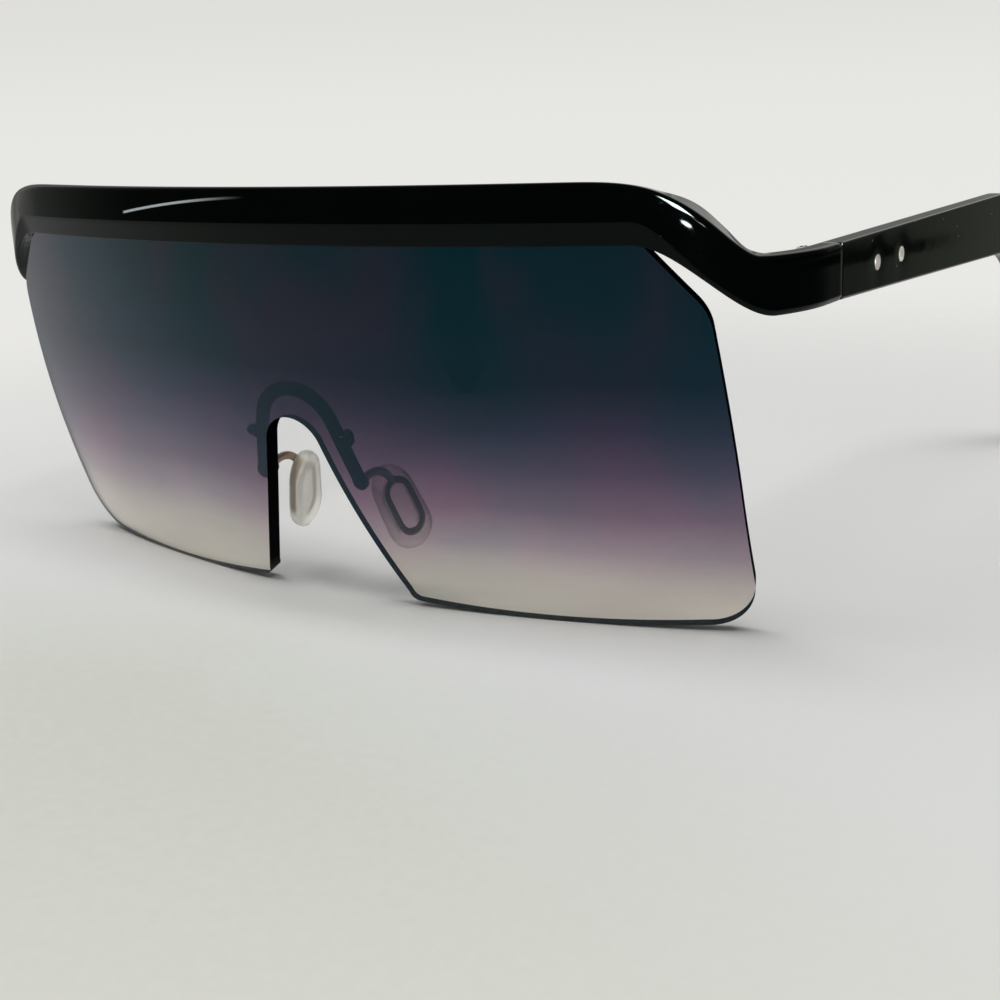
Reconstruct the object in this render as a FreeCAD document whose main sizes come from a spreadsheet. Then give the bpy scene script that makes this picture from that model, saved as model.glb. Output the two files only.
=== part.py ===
import FreeCAD, Part
import math
import os

"""Shield sunglasses: a brow bar with a one-piece spherical lens, a metal nose bridge and folding temples.

The part is drawn with x across, y back from the lens's nose apex and z up from the table that the
lens and the temple tips stand on. Left is the wearer's left, on the +x side. Before writing, every
piece is moved back so that the origin is at the middle of the base.
"""

Vector = FreeCAD.Vector
UP = Vector(0, 0, 1)
ACROSS = Vector(1, 0, 0)
BACK = Vector(0, 1, 0)

SIZES = [
    ("lens_radius", 189.0, "radius of the lens's spherical front face"),
    ("lens_lean", 12.27, "degrees that the lens leans forward at the nose apex"),
    ("lens_thickness", 2.6, "thickness of the lens"),
    ("nose_apex_height", 30.5, "height of the top of the nose cut-out"),
    ("nose_neck_half", 5.1, "half width of the nose cut-out at its neck"),
    ("nose_neck_drop", 3.7, "drop from the nose apex to the neck"),
    ("nose_foot_half", 14.2, "half width of the nose cut-out at its foot"),
    ("nose_foot_height", 2.4, "height of the foot of the nose cut-out"),
    ("nose_slant_bow", 0.45, "how far the slant of the nose cut-out bows towards the middle"),
    ("nose_corner_run", 1.6, "run of the rounded corner from the nose slant to the bottom edge"),
    ("nose_corner_height", 0.9, "height of the bottom edge where it leaves the nose corner"),
    ("lens_low_half", 38.0, "half distance between the lens's two lowest points"),
    ("lens_half_width", 66.9, "half width of the lens at its widest"),
    ("lens_wide_height", 22.0, "height at which the lens is widest"),
    ("lens_side_bow", 0.3, "how far the lens's side bows out above its widest point"),
    ("lens_corner_run", 7.5, "size of the rounded bottom outer corner"),
    ("lens_corner_rise", 0.9, "height of the bottom edge where the outer corner starts"),
    ("lens_shoulder_half", 65.3, "half width of the lens at the corner below its slanted top side"),
    ("lens_shoulder_height", 47.5, "height of that corner"),
    ("lens_shoulder_run", 2.5, "length that the rounding of that corner takes from each side"),
    ("lens_top_half", 57.4, "half width of the lens where it enters the bar"),
    ("bar_bottom", 56.5, "height of the bar's lower edge"),
    ("bar_height", 8.2, "height of the bar"),
    ("bar_depth", 5.4, "front to back size of the bar above the lens"),
    ("bar_standoff", 1.5, "how far the bar's front stands ahead of the lens's front"),
    ("bevel_height", 2.8, "height of the bevel along the bar's lower front edge"),
    ("bevel_depth", 0.8, "depth of that bevel"),
    ("bar_edge", 0.6, "chamfer along the bar's top edges"),
    ("bar_top_slope", 0.5, "fall of the bar's top face towards its back, above the lens"),
    ("groove_depth", 2.6, "depth of the groove that holds the lens"),
    ("groove_play", 0.05, "clearance of the lens in the groove"),
    ("bend_start", 58.65, "half distance between the starts of the bar's end bends"),
    ("bend_radius", 23.04, "radius of the end bends on the outer face"),
    ("end_straight", 4.8, "straight run from the bend to the temple joint"),
    ("end_thickness", 3.6, "thickness of the bar's ends and of the temples"),
    ("end_drop", 10.25, "drop of the bar's top edge along the bend"),
    ("end_height", 7.8, "height of the bar's ends and of the temples' front ends"),
    ("drop_start", -2.2, "distance from the start of the bend to the start of the lower edge's drop"),
    ("drop_length", 20.0, "length of the lower edge's drop"),
    ("top_drop_start", -13.8, "distance from the start of the bend to the start of the top edge's drop"),
    ("top_drop_length", 29.6, "length of the top edge's drop"),
    ("top_drop_delay", 2.2, "power by which the top edge's drop starts slowly"),
    ("joint_gap", 0.15, "gap between the bar's end and the open temple"),
    ("temple_straight", 80.0, "length of the temple's straight part"),
    ("temple_height", 10.6, "height of the temple at the ear bend and along the ear piece"),
    ("temple_fall", 1.3, "fall of the temple's centre line along the straight part"),
    ("ear_radius", 28.0, "radius of the ear bend on the centre line"),
    ("ear_angle", 58.0, "degrees that the ear piece points below level"),
    ("temple_edge", 0.8, "rounding of the temple's long edges"),
    ("knuckle_radius", 1.6, "radius of the hinge knuckles"),
    ("knuckle_clear", 0.3, "gap from the knuckles to the temple's inner face"),
    ("knuckle_play", 0.08, "gap between neighbouring knuckles"),
    ("hinge_height", 5.4, "height of the three knuckles together"),
    ("middle_knuckle", 2.0, "height of the middle knuckle"),
    ("leaf_thickness", 0.9, "thickness of the hinge leaves"),
    ("leaf_height", 4.6, "height of the temple's hinge leaf"),
    ("front_leaf_length", 9.5, "length of the front hinge leaf"),
    ("front_leaf_inset", 0.4, "depth that the front hinge leaf is let into the bar's end"),
    ("temple_leaf_length", 29.0, "length of the temple's hinge leaf"),
    ("pin_radius", 0.65, "radius of the hinge screw"),
    ("pin_play", 0.05, "radial clearance of the hinge screw in the knuckles"),
    ("pin_head_radius", 1.15, "radius of the hinge screw's head"),
    ("pin_head_height", 0.7, "height of the hinge screw's head"),
    ("rivet_radius", 1.13, "radius of the temple rivets"),
    ("rivet_start", 14.2, "distance from the joint to the first rivet"),
    ("rivet_pitch", 10.4, "distance between the two rivets"),
    ("rivet_head_radius", 1.7, "radius of the rivets' inner heads"),
    ("rivet_head_height", 0.5, "height of the rivets' inner heads"),
    ("rivet_dome", 0.08, "height that the rivets stand proud of the temple's outer face"),
    ("fixing_play", 0.03, "radial clearance of rivets and screws in their holes"),
    ("leaf_screw_radius", 0.55, "radius of the screws that hold the front hinge leaf"),
    ("leaf_screw_depth", 1.5, "depth of those screws in the bar"),
    ("leaf_screw_start", 3.9, "distance from the joint to the first leaf screw"),
    ("leaf_screw_pitch", 3.4, "distance between the leaf screws"),
    ("screw_head_radius", 1.0, "radius of the small screws' heads"),
    ("screw_head_height", 0.5, "height of the small screws' heads"),
    ("lens_screw_half", 48.0, "half distance between the two lens screws"),
    ("lens_screw_radius", 0.6, "radius of the lens screws"),
    ("lens_screw_reach", 1.9, "depth of the lens screws in the lens"),
    ("bridge_gap", 0.3, "gap between the lens's back and the nose bridge"),
    ("bridge_thickness", 1.2, "thickness of the nose bridge"),
    ("bridge_width", 1.6, "width of the nose bridge's band"),
    ("bridge_rise", 4.1, "height of the bridge's arch above the nose apex"),
    ("bridge_radius", 7.0, "radius of the bridge's arch on its centre line"),
    ("bridge_foot_half", 9.4, "half distance between the bridge's feet"),
    ("bridge_foot_drop", 9.7, "drop from the nose apex to the bridge's feet"),
    ("bridge_foot_width", 2.6, "width of the bridge's feet"),
    ("pin_ear_half", 9.3, "half distance between the bridge's two pin ears"),
    ("pin_ear_drop", 3.0, "drop from the nose apex to the pin ears"),
    ("pin_ear_radius", 1.3, "radius of the pin ears"),
    ("bridge_pin_radius", 0.6, "radius of the bridge's pins"),
    ("bridge_pin_reach", 1.5, "depth of the bridge's pins in the lens"),
    ("bridge_pin_head", 1.05, "radius of the heads of the bridge's pins"),
    ("pad_half", 10.8, "half distance between the centres of the nose pads"),
    ("pad_back", 14.5, "distance from the nose apex back to the pads' centres"),
    ("pad_drop", 15.4, "drop from the nose apex to the pads' centres"),
    ("pad_splay", 16.7, "degrees that the pads spread apart towards their lower ends"),
    ("pad_rake", 16.0, "degrees that the pads lean back towards their lower ends"),
    ("pad_turn", 10.0, "degrees that the pads' faces turn towards the face"),
    ("pad_length", 14.0, "length of the nose pads"),
    ("pad_width", 8.4, "width of the nose pads"),
    ("pad_thickness", 2.8, "thickness of the nose pads"),
    ("pad_edge", 0.9, "rounding of the nose pads' edges"),
    ("ring_length", 9.8, "length of the ring that carries a pad"),
    ("ring_width", 5.6, "width of that ring"),
    ("ring_band", 1.1, "width of the ring's band"),
    ("ring_thickness", 1.0, "thickness of the ring"),
    ("ring_play", 0.05, "clearance between the ring or the arm and the pad"),
    ("arm_radius", 0.65, "radius of the pad arm's wire"),
    ("arm_arch", 1.6, "how far the pad arm arches above a straight line"),
]

doc = FreeCAD.newDocument("shield_sunglasses")
sheet = doc.addObject("Spreadsheet::Sheet", "Sizes")
for row, (alias, value, note) in enumerate(SIZES, 1):
    sheet.set("A%d" % row, note)
    sheet.set("B%d" % row, str(value))
    sheet.setAlias("B%d" % row, alias)
doc.recompute()
S = {alias: float(sheet.get(alias)) for alias, value, note in SIZES}


# Document helpers

def shape_object(name, shape):
    """A document object that holds a shape worked out from the sheet."""
    item = doc.addObject("Part::Feature", name)
    item.Shape = shape
    return item


def bind(item, **expressions):
    """Ties properties of an object to the sheet's cells."""
    for prop, expression in expressions.items():
        item.setExpression(prop, expression)
    return item


def turned(direction):
    """The turn that carries the z axis to a direction."""
    return FreeCAD.Rotation(UP, direction)


def cylinder(name, radius, height, base, direction):
    """A cylinder whose radius and height are expressions of the sheet, from a base point along a direction."""
    item = bind(doc.addObject("Part::Cylinder", name), Radius=radius, Height=height)
    item.Placement = FreeCAD.Placement(base, turned(direction))
    return item


def ball(name, radius):
    """A sphere about the lens's centre of curvature."""
    item = bind(doc.addObject("Part::Sphere", name), Radius=radius)
    item.Placement.Base = LENS_CENTRE
    return item


def block(name, low, high):
    """A box between two opposite corners."""
    item = doc.addObject("Part::Box", name)
    item.Length = high.x - low.x
    item.Width = high.y - low.y
    item.Height = high.z - low.z
    item.Placement.Base = low
    return item


def cut(name, base, *tools):
    """The base with the tools taken away."""
    tool = tools[0] if len(tools) == 1 else fuse(name + "_tools", *tools)
    item = doc.addObject("Part::Cut", name)
    item.Base = base
    item.Tool = tool
    return item


def fuse(name, *pieces):
    """The pieces joined into one."""
    item = doc.addObject("Part::MultiFuse", name)
    item.Shapes = list(pieces)
    return item


def common(name, *pieces):
    """What the pieces share."""
    item = doc.addObject("Part::MultiCommon", name)
    item.Shapes = list(pieces)
    return item


def group(name, *pieces):
    """Separate solids kept together as one node."""
    item = doc.addObject("Part::Compound", name)
    item.Links = list(pieces)
    return item


def mirrored(name, source):
    """The same piece on the wearer's other side."""
    item = doc.addObject("Part::Mirroring", name)
    item.Source = source
    item.Base = Vector(0, 0, 0)
    item.Normal = ACROSS
    return item


def extrusion(name, outline, direction, length):
    """An outline carried along a direction, by a length or an expression of the sheet."""
    item = doc.addObject("Part::Extrusion", name)
    item.Base = outline
    item.DirMode = "Custom"
    item.Dir = direction
    item.Solid = True
    if isinstance(length, str):
        item.setExpression("LengthFwd", length)
    else:
        item.LengthFwd = length
    return item


def rounded(name, base, radius, pick):
    """The base with the edges that pick accepts rounded."""
    doc.recompute()
    item = doc.addObject("Part::Fillet", name)
    item.Base = base
    item.Edges = [(i, radius, radius) for i, edge in enumerate(base.Shape.Edges, 1) if pick(edge)]
    return item


def line(a, b):
    return Part.LineSegment(a, b).toShape()


def arc(a, middle, b):
    return Part.Arc(a, middle, b).toShape()


def bowed(a, b, bow):
    """An arc from a to b whose middle stands bow to the left of the straight line, in the x-z plane."""
    run = b - a
    side = Vector(-run.z, 0, run.x).normalize()
    return arc(a, (a + b) * 0.5 + side * bow, b)


def round_corner(before, corner, after, run):
    """Start, middle and end of the arc that rounds a corner and takes run from each side."""
    start = corner + (before - corner).normalize() * run
    end = corner + (after - corner).normalize() * run
    chord = (start + end) * 0.5
    half_turn = start.distanceToPoint(end) / (2 * run)
    return start, chord + (corner - chord) * (half_turn / (1 + half_turn)), end


def across_middle(point):
    """The same point on the other side of the middle plane."""
    return Vector(-point.x, point.y, point.z)


def closed(edges):
    return Part.Wire(edges)


# Places that several pieces share

LEAN = math.radians(S["lens_lean"])
LENS_CENTRE = Vector(0, S["lens_radius"] * math.cos(LEAN),
                     S["nose_apex_height"] + S["lens_radius"] * math.sin(LEAN))


def on_lens(x, z, depth=0.0):
    """The point of the sphere that lies depth inside the lens's front face, at a front-view place."""
    r = S["lens_radius"] - depth
    y = LENS_CENTRE.y - math.sqrt(r * r - x * x - (z - LENS_CENTRE.z) ** 2)
    return Vector(x, y, z)


def inward(point):
    """The direction from a point of the lens towards its centre of curvature."""
    return (LENS_CENTRE - point).normalize()


BAR_TOP = S["bar_bottom"] + S["bar_height"]
GROOVE_TOP = S["bar_bottom"] + S["groove_depth"]
BACK_EDGE_RISE = S["lens_thickness"] * (LENS_CENTRE.z - GROOVE_TOP) / S["lens_radius"]
LENS_TOP = GROOVE_TOP - BACK_EDGE_RISE - S["groove_play"]
GROOVE_MIDDLE = S["bar_bottom"] + S["groove_depth"] / 2
BAR_RADIUS = math.sqrt(S["lens_radius"] ** 2 - (GROOVE_MIDDLE - LENS_CENTRE.z) ** 2) + S["bar_standoff"]
BEND_FROM = math.asin(S["bend_start"] / BAR_RADIUS)
BEND_CENTRE_X = S["bend_start"] - S["bend_radius"] * math.sin(BEND_FROM)
BEND_CENTRE_Y = LENS_CENTRE.y - (BAR_RADIUS - S["bend_radius"]) * math.cos(BEND_FROM)
OUTER_X = BEND_CENTRE_X + S["bend_radius"]
JOINT_Y = BEND_CENTRE_Y + S["end_straight"]
END_TOP = BAR_TOP - S["end_drop"]
END_BOTTOM = END_TOP - S["end_height"]
END_MIDDLE = (END_TOP + END_BOTTOM) / 2
INNER_X = OUTER_X - S["end_thickness"]
AXIS_X = INNER_X - S["knuckle_clear"] - S["knuckle_radius"]
AXIS_Y = JOINT_Y + S["joint_gap"] / 2
HINGE_LOW = END_MIDDLE - S["hinge_height"] / 2
HINGE_HIGH = END_MIDDLE + S["hinge_height"] / 2
LEAF_FROM_AXIS = S["knuckle_radius"] + S["knuckle_clear"]


# Lens and bar

def lens_outline(scale):
    """The lens's outline, carried from the lens's front along the lines to its centre of curvature.

    The scale is 1 near the lens, more ahead of it and less behind it. The outline runs from the nose
    cut-out along the bottom edge, the outer corner, the side and the shoulder to the top.
    """
    def seen(x, z):
        """The place in the outline's plane of a front-view place on the lens."""
        way = on_lens(x, z) - LENS_CENTRE
        return LENS_CENTRE - way * (scale * LENS_CENTRE.y / way.y)

    foot_x, foot_z = S["nose_foot_half"], S["nose_foot_height"]
    nose_x, nose_z = foot_x + S["nose_corner_run"], S["nose_corner_height"]
    wide_x, wide_z = S["lens_half_width"], S["lens_wide_height"]
    shoulder_x, shoulder_z = S["lens_shoulder_half"], S["lens_shoulder_height"]
    run, rise = S["lens_corner_run"], S["lens_corner_rise"]
    corner_share = 1 - math.sqrt(0.5)
    nose_share = 0.3
    slope = (S["lens_top_half"] - shoulder_x) / (S["bar_bottom"] - shoulder_z)
    neck = seen(S["nose_neck_half"], S["nose_apex_height"] - S["nose_neck_drop"])
    foot = seen(foot_x, foot_z)
    nose_middle = seen(foot_x + nose_share * S["nose_corner_run"], nose_z + nose_share * (foot_z - nose_z))
    nose_corner = seen(nose_x, nose_z)
    corner_in = seen(wide_x - run, rise)
    corner_middle = seen(wide_x - corner_share * run, rise + corner_share * run)
    corner_out = seen(wide_x, rise + run)
    wide = seen(wide_x, wide_z)
    shoulder = seen(shoulder_x, shoulder_z)
    top = seen(S["lens_top_half"] + slope * (LENS_TOP - S["bar_bottom"]), LENS_TOP)
    below, turn, above = round_corner(wide, shoulder, top, S["lens_shoulder_run"] * scale)
    half = [bowed(neck, foot, -S["nose_slant_bow"] * scale),
            arc(foot, nose_middle, nose_corner),
            arc(nose_corner, seen(S["lens_low_half"], 0), corner_in),
            arc(corner_in, corner_middle, corner_out),
            line(corner_out, wide),
            bowed(wide, below, -S["lens_side_bow"] * scale),
            arc(below, turn, above),
            line(above, top)]
    other = [edge.mirror(Vector(0, 0, 0), ACROSS) for edge in half]
    edges = [arc(across_middle(neck), seen(0, S["nose_apex_height"]), neck)] + half
    edges += [arc(top, seen(0, LENS_TOP), across_middle(top))] + other
    return closed(Part.sortEdges(edges)[0])


def lens_shell(name, outer, inner):
    """The space between two spheres about the lens's centre."""
    return cut(name, ball(name + "_outer", outer), ball(name + "_inner", inner))


def plan_station(along):
    """A place on the bar's outer face in plan: x, y and the heading, along the face from the middle."""
    front = BAR_RADIUS * BEND_FROM
    bend = S["bend_radius"] * (math.pi / 2 - BEND_FROM)
    if along <= front:
        heading = along / BAR_RADIUS
        return BAR_RADIUS * math.sin(heading), LENS_CENTRE.y - BAR_RADIUS * math.cos(heading), heading
    if along <= front + bend:
        heading = BEND_FROM + (along - front) / S["bend_radius"]
        return (BEND_CENTRE_X + S["bend_radius"] * math.sin(heading),
                BEND_CENTRE_Y - S["bend_radius"] * math.cos(heading), heading)
    return OUTER_X, BEND_CENTRE_Y + along - front - bend, math.pi / 2


def eased(share):
    """A smooth step from 0 to 1."""
    share = min(max(share, 0.0), 1.0)
    return share * share * (3 - 2 * share)


def bar_section(along, side):
    """The bar's section square to its path: chamfered top that falls to the back, bevel below at the front."""
    x, y, heading = plan_station(along)
    front = BAR_RADIUS * BEND_FROM
    bend = S["bend_radius"] * (math.pi / 2 - BEND_FROM)
    drop = eased((along - front - S["drop_start"]) / S["drop_length"])
    thickness = S["bar_depth"] + (S["end_thickness"] - S["bar_depth"]) * eased((along - front) / bend)
    top_share = min(max((along - front - S["top_drop_start"]) / S["top_drop_length"], 0.0), 1.0)
    top_drop = eased(top_share ** S["top_drop_delay"])
    top = BAR_TOP - S["end_drop"] * top_drop
    top_back = top - S["bar_top_slope"] * (1 - top_drop)
    bottom = S["bar_bottom"] + (END_BOTTOM - S["bar_bottom"]) * drop
    edge = S["bar_edge"]
    bevel = S["bevel_depth"] * (1 - drop) + edge * drop
    bevel_top = bottom + S["bevel_height"] * (1 - drop) + edge * drop
    profile = [(edge, top), (thickness - edge, top_back), (thickness, top_back - edge), (thickness, bottom),
               (bevel, bottom), (0, bevel_top), (0, top - edge)]
    points = [Vector(side * (x - a * math.sin(heading)), y + a * math.cos(heading), z) for a, z in profile]
    return Part.makePolygon(points + points[:1])


def bar_stations():
    """Distances along the bar from its middle at which a section is drawn."""
    front = BAR_RADIUS * BEND_FROM
    bend = S["bend_radius"] * (math.pi / 2 - BEND_FROM)
    front_steps = 7
    bend_steps = 12
    end_steps = 3
    on_front = [front * i / front_steps for i in range(1, front_steps + 1)]
    on_bend = [front + bend * i / bend_steps for i in range(1, bend_steps + 1)]
    on_end = [front + bend + S["end_straight"] * i / end_steps for i in range(1, end_steps + 1)]
    return on_front + on_bend + on_end


def make_bar():
    """The brow bar: sections carried along the front arc, the falling bends and the ends."""
    stations = bar_stations()
    rows = [(a, -1) for a in reversed(stations)] + [(0.0, 1)] + [(a, 1) for a in stations]
    loft = doc.addObject("Part::Loft", "bar_body")
    loft.Sections = [shape_object("bar_section_%d" % i, bar_section(a, side))
                     for i, (a, side) in enumerate(rows)]
    loft.Solid = True
    loft.MaxDegree = 2
    grown = lens_shell("groove_shell", "Sizes.lens_radius + Sizes.groove_play",
                       "Sizes.lens_radius - Sizes.lens_thickness - Sizes.groove_play")
    reach = S["lens_top_half"] + S["bar_standoff"]
    room = block("groove_room", Vector(-reach, -S["lens_radius"], S["bar_bottom"] - S["end_drop"]),
                 Vector(reach, BEND_CENTRE_Y, GROOVE_TOP))
    groove = common("groove", grown, room)
    pocket_low = Vector(AXIS_X - S["knuckle_radius"], JOINT_Y - S["front_leaf_length"] - S["groove_play"],
                        HINGE_LOW - S["groove_play"])
    pocket_high = Vector(INNER_X + S["front_leaf_inset"] + S["groove_play"], JOINT_Y + S["joint_gap"],
                         HINGE_HIGH + S["groove_play"])
    pocket = block("leaf_pocket", pocket_low, pocket_high)
    holes = leaf_screw_shafts("leaf_hole", "Sizes.leaf_screw_radius + Sizes.fixing_play",
                              "Sizes.leaf_screw_depth + Sizes.leaf_thickness + 2 * Sizes.fixing_play")
    one_side = fuse("end_cuts_left", pocket, *holes)
    screw_holes = lens_screw_shafts("lens_screw_way", "Sizes.lens_screw_radius + Sizes.fixing_play",
                                    S["lens_thickness"] + S["bar_depth"])
    grooved = cut("bar_grooved", loft, groove, *screw_holes)
    return cut("brow_bar", grooved, one_side, mirrored("end_cuts_right", one_side))


def lens_screw_place(side):
    """The seat of a lens screw's tip inside the lens, and the way from there to the bar's back."""
    point = on_lens(side * S["lens_screw_half"], GROOVE_MIDDLE, S["lens_thickness"] - S["lens_screw_reach"])
    return point, inward(point)


def lens_screw_shafts(name, radius, length):
    """The two lens screws' shafts, or the holes for them when grown."""
    shafts = []
    for tag, side in (("left", 1), ("right", -1)):
        point, way = lens_screw_place(side)
        shafts.append(cylinder("%s_%s" % (name, tag), radius, str(length), point, way))
    return shafts


def make_lens():
    """The shield lens: a spherical shell with edges square to its faces and blind holes at the back."""
    blank = doc.addObject("Part::Loft", "lens_blank")
    blank.Sections = [shape_object("lens_outline_ahead", lens_outline(1.1)),
                      shape_object("lens_outline_behind", lens_outline(0.85))]
    blank.Solid = True
    blank.Ruled = True
    shell = lens_shell("lens_shell", "Sizes.lens_radius", "Sizes.lens_radius - Sizes.lens_thickness")
    body = common("lens_body", shell, blank)
    holes = lens_screw_shafts("lens_screw_hole", "Sizes.lens_screw_radius + Sizes.fixing_play",
                              S["lens_thickness"])
    for tag, side in (("left", 1), ("right", -1)):
        point, way = bridge_pin_place(side)
        holes.append(cylinder("bridge_pin_hole_" + tag, "Sizes.bridge_pin_radius + Sizes.fixing_play",
                              "Sizes.lens_thickness", point, way))
    return cut("shield_lens", body, *holes)


def bar_back_depth(side):
    """Depth of the bar's back below the lens's front, along a lens screw's way."""
    point, way = lens_screw_place(side)
    flat = math.hypot(way.x, way.y)
    start = math.hypot(point.x, LENS_CENTRE.y - point.y)
    return (start - (BAR_RADIUS - S["bar_depth"])) / flat


def make_lens_screws():
    """Two small screws from the bar's back into the lens."""
    screws = []
    for tag, side in (("left", 1), ("right", -1)):
        point, way = lens_screw_place(side)
        length = bar_back_depth(side) + S["fixing_play"]
        tip = point + way * S["fixing_play"]
        shaft = cylinder("lens_screw_shaft_" + tag, "Sizes.lens_screw_radius", str(length), tip, way)
        head = cylinder("lens_screw_head_" + tag, "Sizes.screw_head_radius", "Sizes.screw_head_height",
                        tip + way * length, way)
        screws.append(fuse("lens_screw_" + tag, shaft, head))
    return group("lens_screws", *screws)


# Nose bridge and pads

def bridge_outline():
    """The bridge's band seen from the front: an arch with two straight legs that touch it smoothly."""
    half_band = S["bridge_width"] / 2
    centre_z = S["nose_apex_height"] + S["bridge_rise"] - S["bridge_radius"]
    foot = Vector(S["bridge_foot_half"], 0, S["nose_apex_height"] - S["bridge_foot_drop"])
    reach = math.hypot(foot.x, foot.z - centre_z)
    turn = math.atan2(foot.z - centre_z, foot.x) + math.acos(S["bridge_radius"] / reach)
    out = Vector(math.cos(turn), 0, math.sin(turn))
    centre = Vector(0, 0, centre_z)
    sides = []
    for offset in (half_band, -half_band):
        radius = S["bridge_radius"] + offset
        start = centre + out * radius
        end = foot + out * offset
        sides.append((start, end, centre + Vector(0, 0, radius)))

    def flip(p):
        return Vector(-p.x, 0, p.z)

    (outer_start, outer_end, outer_top), (inner_start, inner_end, inner_top) = sides
    edges = [arc(flip(outer_start), outer_top, outer_start), line(outer_start, outer_end),
             line(outer_end, inner_end), line(inner_end, inner_start),
             arc(inner_start, inner_top, flip(inner_start)), line(flip(inner_start), flip(inner_end)),
             line(flip(inner_end), flip(outer_end)), line(flip(outer_end), flip(outer_start))]
    return closed(edges)


BRIDGE_FRONT = S["lens_thickness"] + S["bridge_gap"]
BRIDGE_BACK = BRIDGE_FRONT + S["bridge_thickness"]


def bridge_pin_place(side):
    """The seat of a bridge pin's tip inside the lens, and the way from there to the back."""
    point = on_lens(side * S["pin_ear_half"], S["nose_apex_height"] - S["pin_ear_drop"],
                    S["lens_thickness"] - S["bridge_pin_reach"])
    return point, inward(point)


def foot_place(side):
    """The middle of a bridge foot on the bridge's back face."""
    return on_lens(side * S["bridge_foot_half"], S["nose_apex_height"] - S["bridge_foot_drop"], BRIDGE_BACK)


def make_bridge():
    """The nose bridge: a band that follows the lens's back, with pin ears and feet for the pad arms."""
    outline = shape_object("bridge_outline", bridge_outline())
    outline.Placement.Base = Vector(0, -S["lens_radius"] / 2, 0)
    pieces = [extrusion("bridge_band", outline, BACK, "Sizes.lens_radius")]
    holes = []
    through = BRIDGE_BACK + S["bridge_thickness"]
    for tag, side in (("left", 1), ("right", -1)):
        point, way = bridge_pin_place(side)
        pieces.append(cylinder("bridge_ear_" + tag, "Sizes.pin_ear_radius", str(through), point, way))
        holes.append(cylinder("bridge_eye_" + tag, "Sizes.bridge_pin_radius + Sizes.fixing_play",
                              str(through), point, way))
        foot = foot_place(side)
        foot_way = inward(foot)
        pieces.append(cylinder("bridge_foot_" + tag, "Sizes.bridge_foot_width / 2", str(2 * through),
                               foot - foot_way * through, foot_way))
    shell = lens_shell("bridge_shell", "Sizes.lens_radius - Sizes.lens_thickness - Sizes.bridge_gap",
                       "Sizes.lens_radius - Sizes.lens_thickness - Sizes.bridge_gap - Sizes.bridge_thickness")
    bent = common("bridge_bent", shell, fuse("bridge_flat", *pieces))
    return cut("nose_bridge", bent, *holes)


def make_bridge_pins():
    """Two pins, each with a collar against the lens, a shank through the bridge's ear and a head behind it."""
    pins = []
    shank = S["bridge_pin_reach"] + S["bridge_gap"] + S["bridge_thickness"]
    for tag, side in (("left", 1), ("right", -1)):
        point, way = bridge_pin_place(side)
        tip = point + way * S["fixing_play"]
        shaft = cylinder("bridge_pin_shaft_" + tag, "Sizes.bridge_pin_radius", str(shank), tip, way)
        collar = cylinder("bridge_pin_collar_" + tag, "Sizes.bridge_pin_head",
                          "Sizes.bridge_gap - 2 * Sizes.fixing_play",
                          point + way * (S["bridge_pin_reach"] + S["fixing_play"]), way)
        head = cylinder("bridge_pin_head_" + tag, "Sizes.bridge_pin_head", "Sizes.screw_head_height",
                        tip + way * shank, way)
        pins.append(fuse("bridge_pin_" + tag, shaft, collar, head))
    return group("bridge_pins", *pins)


def pad_frame():
    """The left pad's own axes: its centre, down its length, across its width and towards the nose."""
    splay = math.radians(S["pad_splay"])
    rake = math.radians(S["pad_rake"])
    turn = math.radians(S["pad_turn"])
    centre = Vector(S["pad_half"], S["pad_back"], S["nose_apex_height"] - S["pad_drop"])
    down = Vector(math.tan(splay), math.tan(rake), -1).normalize()
    face = Vector(-math.cos(turn), math.sin(turn), 0)
    face = (face - down * face.dot(down)).normalize()
    return centre, down, face.cross(down), face


def racetrack(length, width):
    """A slot-shaped outline about the origin, long along x."""
    r = width / 2
    e = length / 2 - r
    edges = [line(Vector(-e, -r, 0), Vector(e, -r, 0)),
             arc(Vector(e, -r, 0), Vector(e + r, 0, 0), Vector(e, r, 0)),
             line(Vector(e, r, 0), Vector(-e, r, 0)),
             arc(Vector(-e, r, 0), Vector(-e - r, 0, 0), Vector(-e, -r, 0))]
    return closed(edges)


def slab(name, length, width, thickness, offset):
    """A slot-shaped slab in the left pad's axes, from an offset towards the nose."""
    centre, down, across, face = pad_frame()
    outline = shape_object(name + "_outline", racetrack(length, width))
    outline.Placement = FreeCAD.Placement(centre + face * offset, FreeCAD.Rotation(down, across, face, "ZXY"))
    return extrusion(name, outline, face, thickness)


def ring(name, play):
    """The ring that carries the left pad, or the room for it when play is given."""
    low = -S["ring_thickness"] / 2 - play
    thick = S["ring_thickness"] + 2 * play
    whole = slab(name + "_whole", S["ring_length"] + 2 * play, S["ring_width"] + 2 * play, thick, low)
    hole = slab(name + "_hole", S["ring_length"] - 2 * S["ring_band"] - 2 * play,
                S["ring_width"] - 2 * S["ring_band"] - 2 * play, thick, low)
    return cut(name, whole, hole)


def arm_wire(name, radius):
    """The left pad arm: a round wire on an arc from the bridge's foot over to the top of the ring."""
    centre, down, across, face = pad_frame()
    foot = foot_place(1)
    start = foot - inward(foot) * S["bridge_thickness"]
    end = centre - down * (S["ring_length"] / 2 - S["ring_band"] / 2)
    middle = (start + end) * 0.5 + UP * S["arm_arch"]
    path = Part.Arc(start, middle, end)
    spine = shape_object(name + "_path", Part.Wire([path.toShape()]))
    tangent = Vector(*path.tangent(path.FirstParameter)[0])
    section = shape_object(name + "_section", Part.Wire([Part.makeCircle(radius, start, tangent)]))
    sweep = doc.addObject("Part::Sweep", name)
    sweep.Sections = [section]
    sweep.Spine = (spine, ["Edge1"])
    sweep.Solid = True
    sweep.Frenet = False
    return sweep


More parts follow.
